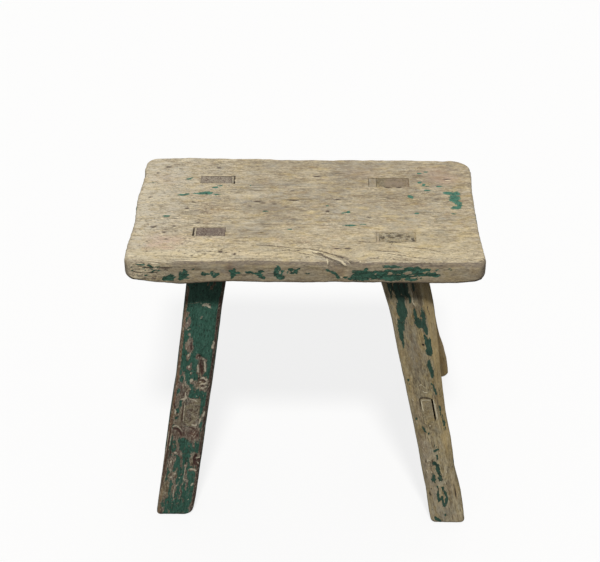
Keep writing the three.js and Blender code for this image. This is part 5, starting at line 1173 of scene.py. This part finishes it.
    # long dark pores, specks and hairline cracks
    c1 = g.noise(v, (2.3, 2.3, 60), 3, 0.5, shift + 55, 0.2)
    crack = g.span(g.math("ABSOLUTE", g.math("SUBTRACT", c1, 0.5)), 0.010, 0.0)
    c2 = g.noise(v, (14, 14, 40), 2, 0.5, shift + 61)
    crack = g.math("MULTIPLY", crack, g.span(c2, 0.50, 0.62))
    pore = g.cells(v, (fibre[0], fibre[1], 6.5), shift=shift + 71)
    pore = g.math("MULTIPLY", g.span(pore, 0.24, 0.10), g.span(g.noise(v, (9, 9, 22), 3, 0.6, shift + 75), 0.50, 0.66))
    spots = g.span(g.noise(v, (fibre[0] * 0.9, fibre[1] * 0.9, 4.8), 4, 0.64, shift + 81), 0.61, 0.70)
    pale = g.span(g.noise(v, (fibre[0] * 0.8, fibre[1] * 0.8, 5.0), 4, 0.64, shift + 91), 0.58, 0.68)
    col = g.mix(g.math("MULTIPLY", g.math("MAXIMUM", pore, spots), 0.55 * speck), col, stain_and_shade_col)
    col = g.mix(g.math("MULTIPLY", crack, 0.62), col, stain_and_shade_col)
    pale_amount = g.math("MULTIPLY", pale, g.math("ADD", 0.42 * speck, g.math("MULTIPLY", g.math("MAXIMUM", tone, 0.0), 0.7)))
    col = g.mix(pale_amount, col, wear_and_light_col)
    # The dark field mixes in the stain colour: real stains and dark marks, and painted shade where the fields put it.
    ragged = g.math("ADD", stain_and_shade, g.math("MULTIPLY", g.math("SUBTRACT", g.noise(v, (1.4, 1.4, 4), 4, 0.65, shift + 95), 0.5), g.math("MULTIPLY", stain_and_shade, 1.6)))
    col = g.mix(g.math("MINIMUM", ragged, 0.92), col, stain_and_shade_col)

    if busy:
        where = g.span(g.noise(v, (8, 8, 12), 3, 0.6, shift + 149), 0.38, 0.56, 0.35, 1.0)
        bz1, bz2 = g.noise(v, (1.5, 1.5, 2.4), 3, 0.6, shift + 151), g.noise(v, (1.7, 1.7, 3.0), 3, 0.6, shift + 157)
        col = g.mix(g.math("MULTIPLY", g.math("MULTIPLY", g.span(bz1, 0.54, 0.62), where), 0.54 * busy), col, tuple(c * 0.92 for c in lip_col))
        col = g.mix(g.math("MULTIPLY", g.math("MULTIPLY", g.span(bz2, 0.54, 0.62), where), 0.72 * busy), col, (0.075, 0.036, 0.030))

    # paint remnants
    e1 = g.noise(v, (2.6, 2.6, 6.0), 5, 0.68, shift + 101)
    e2 = g.noise(v, (1.2, 1.2, 2.0), 4, 0.65, shift + 111)
    chip = g.span(g.noise(v, (1.6, 1.6, 3.2), 4, 0.66, shift + 121), 0.57, 0.68)
    field = g.math("ADD", paint, g.math("MULTIPLY", g.math("SUBTRACT", e1, 0.5), 3.0 * ragged_paint))
    field = g.math("ADD", field, g.math("MULTIPLY", g.math("SUBTRACT", e2, 0.5), 1.5 * ragged_paint))
    field = g.math("SUBTRACT", field, g.math("MULTIPLY", chip, chips))
    mask = g.span(field, 0.0, soft)
    pc = g.mix(g.math("ADD", g.math("MULTIPLY", g.span(mottle, 0.38, 0.62), 0.2), g.math("MULTIPLY", tint, 0.8)), paint_a, paint_b)
    pc = g.mix(g.math("MULTIPLY", g.span(f1, 0.46, 0.62), 0.22 * paint_grit), pc, tuple(min(1, c * 1.5 + 0.022) for c in paint_b))
    pc = g.mix(g.math("MULTIPLY", g.span(grit, 0.50, 0.64), min(1.0, 0.55 * paint_grit)), pc, tuple(c * 0.42 + 0.004 for c in paint_a))
    pc = g.mix(g.math("MULTIPLY", g.span(fine, 0.56, 0.70), 0.30 * paint_grit), pc, tuple(min(1, c * 1.7 + 0.035) for c in paint_b))
    scratch = g.span(g.noise(v, (1.1, 1.1, 5.0), 3, 0.6, shift + 141), 0.60, 0.70)
    pc = g.mix(g.math("MULTIPLY", scratch, 0.35 * paint_grit), pc, tuple(min(1, c * 1.8 + 0.05) for c in paint_b))
    pc = g.mix(g.math("MULTIPLY", g.math("MULTIPLY", stain_and_shade, 0.8), g.span(mottle, 0.3, 0.7)), pc, tuple(c * 0.35 for c in stain_and_shade_col))
    rim = g.math("MULTIPLY", g.span(field, -0.16, 0.02), g.span(field, 0.14, 0.04))
    col = g.mix(g.math("MULTIPLY", rim, 0.35), col, stain_and_shade_col)
    if busy:
        col = g.mix(g.math("MULTIPLY", g.math("MULTIPLY", g.span(field, -0.34, -0.10), g.span(field, 0.0, -0.06)), 0.20 * busy), col, lip_col)
    col = g.mix(mask, col, pc)
    # cracks and rubbed lips that follow drawn lines
    rag = g.math("MULTIPLY", g.math("SUBTRACT", g.noise(v, (1.3, 1.3, 2.2), 3, 0.6, shift + 161), 0.5), 0.9)
    lipped = g.span(g.math("ADD", lips, rag), 0.34, 0.62)
    creased = g.span(g.math("ADD", creases, rag), 0.34, 0.62)
    col = g.mix(g.math("MULTIPLY", lipped, line_mix), col, lip_col)
    col = g.mix(g.math("MULTIPLY", creased, 0.88), col, crease_col)

    rough_v = g.math("ADD", g.math("MULTIPLY", f1, 0.12), rough - 0.06)
    rough_v = g.math("SUBTRACT", rough_v, g.math("MULTIPLY", mask, 0.30))
    rough_v = g.math("ADD", rough_v, g.math("MULTIPLY", fine, 0.10))

    h = g.math("MULTIPLY", f1, 0.50 * bump)
    h = g.math("ADD", h, g.math("MULTIPLY", f2, 0.28 * bump))
    h = g.math("ADD", h, g.math("MULTIPLY", late, 0.07 * bump))
    h = g.math("MULTIPLY", h, g.math("SUBTRACT", 1.0, g.math("MULTIPLY", mask, 0.55)))
    h = g.math("SUBTRACT", h, g.math("MULTIPLY", crack, 0.35))
    h = g.math("ADD", h, g.math("MULTIPLY", g.math("SUBTRACT", lipped, creased), 0.35))
    h = g.math("SUBTRACT", h, g.math("MULTIPLY", g.math("MAXIMUM", pore, spots), 0.18))
    h = g.math("ADD", h, g.math("MULTIPLY", mask, 0.13))
    h = g.math("ADD", h, g.math("MULTIPLY", fine, 0.10 * bump))
    bumpn = g.node("ShaderNodeBump", {"Strength": 1.0, "Distance": MM, "Height": h})
    bsdf = g.node("ShaderNodeBsdfPrincipled", {"Base Color": col, "Roughness": rough_v, "Normal": bumpn.outputs[0], "Specular IOR Level": 0.28})
    out = g.node("ShaderNodeOutputMaterial", {"Surface": bsdf.outputs[0]})
    return g.mat


GREEN_A, GREEN_B = (0.018, 0.067, 0.045), (0.032, 0.098, 0.070)
BAREGREEN_A, BAREGREEN_B = (0.019, 0.050, 0.034), (0.031, 0.074, 0.052)
# The lighter seat green B goes on the top face: a painted sheen.
SEATGREEN_A, SEATGREEN_B = (0.023, 0.072, 0.047), (0.056, 0.170, 0.118)
M = {
    "seat": wood("seat_wood", (0.25, 0.20, 0.135), (0.43, 0.36, 0.245), (0.64, 0.55, 0.385), (0.330, 0.295, 0.235), (0.125, 0.10, 0.085), (0.50, 0.335, 0.265), (0.56, 0.46, 0.25), (0.68, 0.58, 0.39),
                 SEATGREEN_A, SEATGREEN_B, shift=2.0, pith=(8, 250), chips=0.62, contrast=1.06, fibre=(2.3, 2.3, 9.0), streak=0.34, hue_amount=1.05, ragged_paint=1.0, line_mix=0.66, paint_grit=1.9),
    "painted": wood("painted_leg_wood", (0.050, 0.035, 0.027), (0.118, 0.096, 0.071), (0.31, 0.275, 0.21), (0.16, 0.145, 0.12), (0.040, 0.020, 0.016), (0.265, 0.205, 0.175), (0.235, 0.205, 0.105), (0.46, 0.41, 0.31),
                    GREEN_A, GREEN_B, shift=31.0, pith=(60, 20), ring=3.4, chips=0.45, fibre=(1.5, 1.5, 7.0), speck=1.6, contrast=1.4, bump=1.5, paint_grit=1.8, busy=1.0, crease_col=(0.050, 0.022, 0.018), lip_col=(0.50, 0.445, 0.34), line_mix=0.82, brown_mul=(1.0, 0.58, 0.42), soft=0.26),
    "bare": wood("bare_leg_wood", (0.135, 0.104, 0.060), (0.268, 0.221, 0.132), (0.43, 0.365, 0.235), (0.205, 0.185, 0.145), (0.050, 0.039, 0.029), (0.33, 0.25, 0.185), (0.43, 0.315, 0.14), (0.50, 0.43, 0.29),
                 BAREGREEN_A, BAREGREEN_B, shift=57.0, pith=(-50, 20), ring=3.0, chips=0.45, fibre=(1.5, 1.5, 9.0), speck=1.0, contrast=1.05, hue_amount=1.3, crease_col=(0.045, 0.032, 0.022), lip_col=(0.56, 0.50, 0.36), brown_mul=(1.06, 0.84, 0.56)),
    "wedge": wood("wedge_wood", (0.22, 0.18, 0.13), (0.40, 0.34, 0.245), (0.60, 0.52, 0.38), (0.32, 0.28, 0.23), (0.10, 0.08, 0.065), (0.36, 0.29, 0.25), (0.48, 0.40, 0.24), (0.64, 0.55, 0.40),
                  GREEN_A, GREEN_B, shift=97.0, pith=(20, 20), ring=1.8, fibre=(0.6, 0.6, 6.0), speck=1.0),
}


def finish_piece(obj, node, mat, angle=38):
    shade(obj, angle)
    obj.data.materials.clear()
    obj.data.materials.append(M[mat])
    obj.data.polygons.foreach_set("material_index", np.zeros(len(obj.data.polygons), np.int32))
    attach(obj, "root")
    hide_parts(node)


# ------------------------------------------------------------------ build
v, q = seat_shape()
seat = new_object("seat_plank_worn", v + SHIFT, q)
cut(seat, [mortise_tool(n, l) for n, l in LEGS.items()])
seat_fields(seat)
lay_out(seat, seat_region)
finish_piece(seat, "seat_plank", "seat")

for i, (name, leg) in enumerate(LEGS.items()):
    v, q = leg_shape(name, leg, 300 + 40 * i)
    obj = new_object("leg_%s_worn" % name, v + SHIFT, q)
    side = "left" if name.endswith("left") else "right"
    cut(obj, [stretcher_tool(side, STRETCHERS[side])])
    leg_fields(obj, name, leg)
    lay_out(obj, leg_region(name, leg))
    painted = side == "left"
    finish_piece(obj, "leg_" + name, "painted" if painted else "bare")

    v, q = wedge_shape(name, leg, 700 + i)
    obj = new_object("wedge_%s_split" % name, v + SHIFT, q)
    small_fields(obj, 700 + i, "z", tone={"front_left": 0.5, "front_right": 0.2, "back_right": 0.05, "back_left": 0.15}[name],
                 dark={"front_left": 0.0, "front_right": 0.12, "back_right": 0.22, "back_left": 0.15}[name])
    lay_out(obj, lambda c, n: np.zeros(len(c), int))
    finish_piece(obj, "wedge_" + name, "wedge")

for side, st in STRETCHERS.items():
    v, q = stretcher_shape(st, 500 if side == "left" else 540)
    obj = new_object("stretcher_%s_worn" % side, v + SHIFT, q)
    k = 900 if side == "left" else 940
    is_end = lambda p: (np.abs(p[:, 1]) > 100)

    def paint(p, n, k=k, side=side):
        f = (0.35 if side == "left" else -0.35) + 1.5 * fbm(p, (9, 30, 9), 3, k)
        f = np.where(np.abs(n[:, 1]) > 0.6, -1, f)
        return np.clip(f, -1, 1)

    def gold(p, n, side=side):
        if side == "right":
            return np.full(len(p), 0.15)
        return 0.75 * smooth(-0.3, 0.5, fbm(p, (6, 6, 6), 3, 951)) * (p[:, 1] < -95)

    def marked(which, side=side):
        def field(p, n):
            name = "front_" + side
            u = p[:, 0] - axis(LEGS[name], p[:, 2])[0]
            fr = smooth(0.5, 0.8, -n[:, 1]) * (p[:, 1] < -60)
            if side == "right":
                q2 = np.stack([u, p[:, 2]], 1)
                if which:
                    return marks(q2, [([(-2.6, 121.8), (1.6, 120.4)], 0.8, 0.6), ([(-0.2, 143), (0.4, 131)], 0.5, 0.5)]) * fr - (1 - fr)
                return marks(q2, [([(-3.4, 147.6), (1, 148.2), (6.8, 148.2)], 0.9, 1.0), ([(-3.4, 147.6), (-3.3, 139), (-3.2, 134.4)], 0.9, 1.0)]) * fr - (1 - fr)
            return leg_marks(name, u, p[:, 2], fr)[1 if which else 0]
        return field

    small_fields(obj, k, "y", paint=paint, tone=0.15 if side == "left" else 0.10, dark=0.0 if side == "left" else 0.10, warm=0.1 if side == "left" else 0.0, gold=gold, lip=marked(0), crease=marked(1))
    lay_out(obj, lambda c, n: (np.abs(c[:, 1]) > 93).astype(int))
    finish_piece(obj, "stretcher_" + side, "painted" if side == "left" else "bare")

# ------------------------------------------------------------------ floor, light, camera
floor = new_object("floor", [(-3000, -3000, 0), (3000, -3000, 0), (3000, 3000, 0), (-3000, 3000, 0)], [(0, 1, 2, 3)])
floor.location.z = -0.0002
g = Graph("pale_floor")
diffuse = g.node("ShaderNodeBsdfDiffuse", {"Color": (0.15, 0.15, 0.15)})
glow = g.node("ShaderNodeEmission", {"Color": (1, 1, 1), "Strength": 0.81})
both = g.node("ShaderNodeAddShader", {0: diffuse.outputs[0], 1: glow.outputs[0]})
g.node("ShaderNodeOutputMaterial", {"Surface": both.outputs[0]})
g.mat.cycles.emission_sampling = "NONE"
floor.data.materials.append(g.mat)
floor.visible_diffuse = False
floor.visible_glossy = False
floor.visible_transmission = False

world = bpy.data.worlds.new("studio")
bpy.context.scene.world = world
world.use_nodes = True
nt = world.node_tree
nt.nodes.clear()
geo = nt.nodes.new("ShaderNodeNewGeometry")
sepn = nt.nodes.new("ShaderNodeSeparateXYZ")
nt.links.new(geo.outputs["Incoming"], sepn.inputs[0])
mr = nt.nodes.new("ShaderNodeMapRange")
mr.inputs[1].default_value, mr.inputs[2].default_value = 0.6, -0.6
mr.inputs[3].default_value, mr.inputs[4].default_value = 0.15, 0.30
nt.links.new(sepn.outputs[2], mr.inputs[0])
lp = nt.nodes.new("ShaderNodeLightPath")
sel = nt.nodes.new("ShaderNodeMix")
sel.data_type = "FLOAT"
nt.links.new(lp.outputs["Is Camera Ray"], sel.inputs[0])
nt.links.new(mr.outputs[0], sel.inputs[2])
sel.inputs[3].default_value = 0.93
bg = nt.nodes.new("ShaderNodeBackground")
nt.links.new(sel.outputs[0], bg.inputs["Strength"])
bg.inputs["Color"].default_value = (1, 0.995, 0.98, 1)
wo = nt.nodes.new("ShaderNodeOutputWorld")
nt.links.new(bg.outputs[0], wo.inputs[0])


def sun(name, elevation, azimuth, strength, spread, color):
    """A broad lamp. Azimuth 0 shines from the front, positive from the right."""
    light = bpy.data.lights.new(name, "SUN")
    light.energy, light.angle, light.color = strength * math.pi, math.radians(spread), color
    obj = bpy.data.objects.new(name, light)
    bpy.context.scene.collection.objects.link(obj)
    e, a = math.radians(elevation), math.radians(azimuth)
    src = Vector((math.sin(a) * math.cos(e), -math.cos(a) * math.cos(e), math.sin(e)))
    obj.rotation_euler = src.to_track_quat("Z", "Y").to_euler()
    return obj


sun("key", 60.5, 3, 0.85, 8, (1, 0.985, 0.955))
sun("back fill", 48, 176, 0.16, 45, (1, 0.99, 0.97))

cam_data = bpy.data.cameras.new("camera")
cam = bpy.data.objects.new("camera", cam_data)
bpy.context.scene.collection.objects.link(cam)
cam_data.sensor_fit = "HORIZONTAL"
cam_data.sensor_width = 36.0
cam_data.lens = 1348.0173 / 600 * 36.0
cam_data.clip_start, cam_data.clip_end = 0.01, 50
pitch, yaw, roll = math.radians(35), math.radians(-1.1924325), math.radians(-0.2145193)
fwd = Vector((math.sin(yaw) * math.cos(pitch), math.cos(yaw) * math.cos(pitch), -math.sin(pitch)))
right = Vector((math.cos(yaw), -math.sin(yaw), 0))
upv = right.cross(fwd)
r2 = math.cos(roll) * right + math.sin(roll) * upv
u2 = -math.sin(roll) * right + math.cos(roll) * upv
place = (np.array([18.486882, -1215.214, 1076.672413]) + SHIFT) * MM
cam.matrix_world = Matrix(((r2.x, u2.x, -fwd.x, place[0]), (r2.y, u2.y, -fwd.y, place[1]), (r2.z, u2.z, -fwd.z, place[2]), (0, 0, 0, 1)))
bpy.context.scene.camera = cam
bpy.context.scene.view_settings.view_transform = "Standard"

bpy.context.view_layer.update()
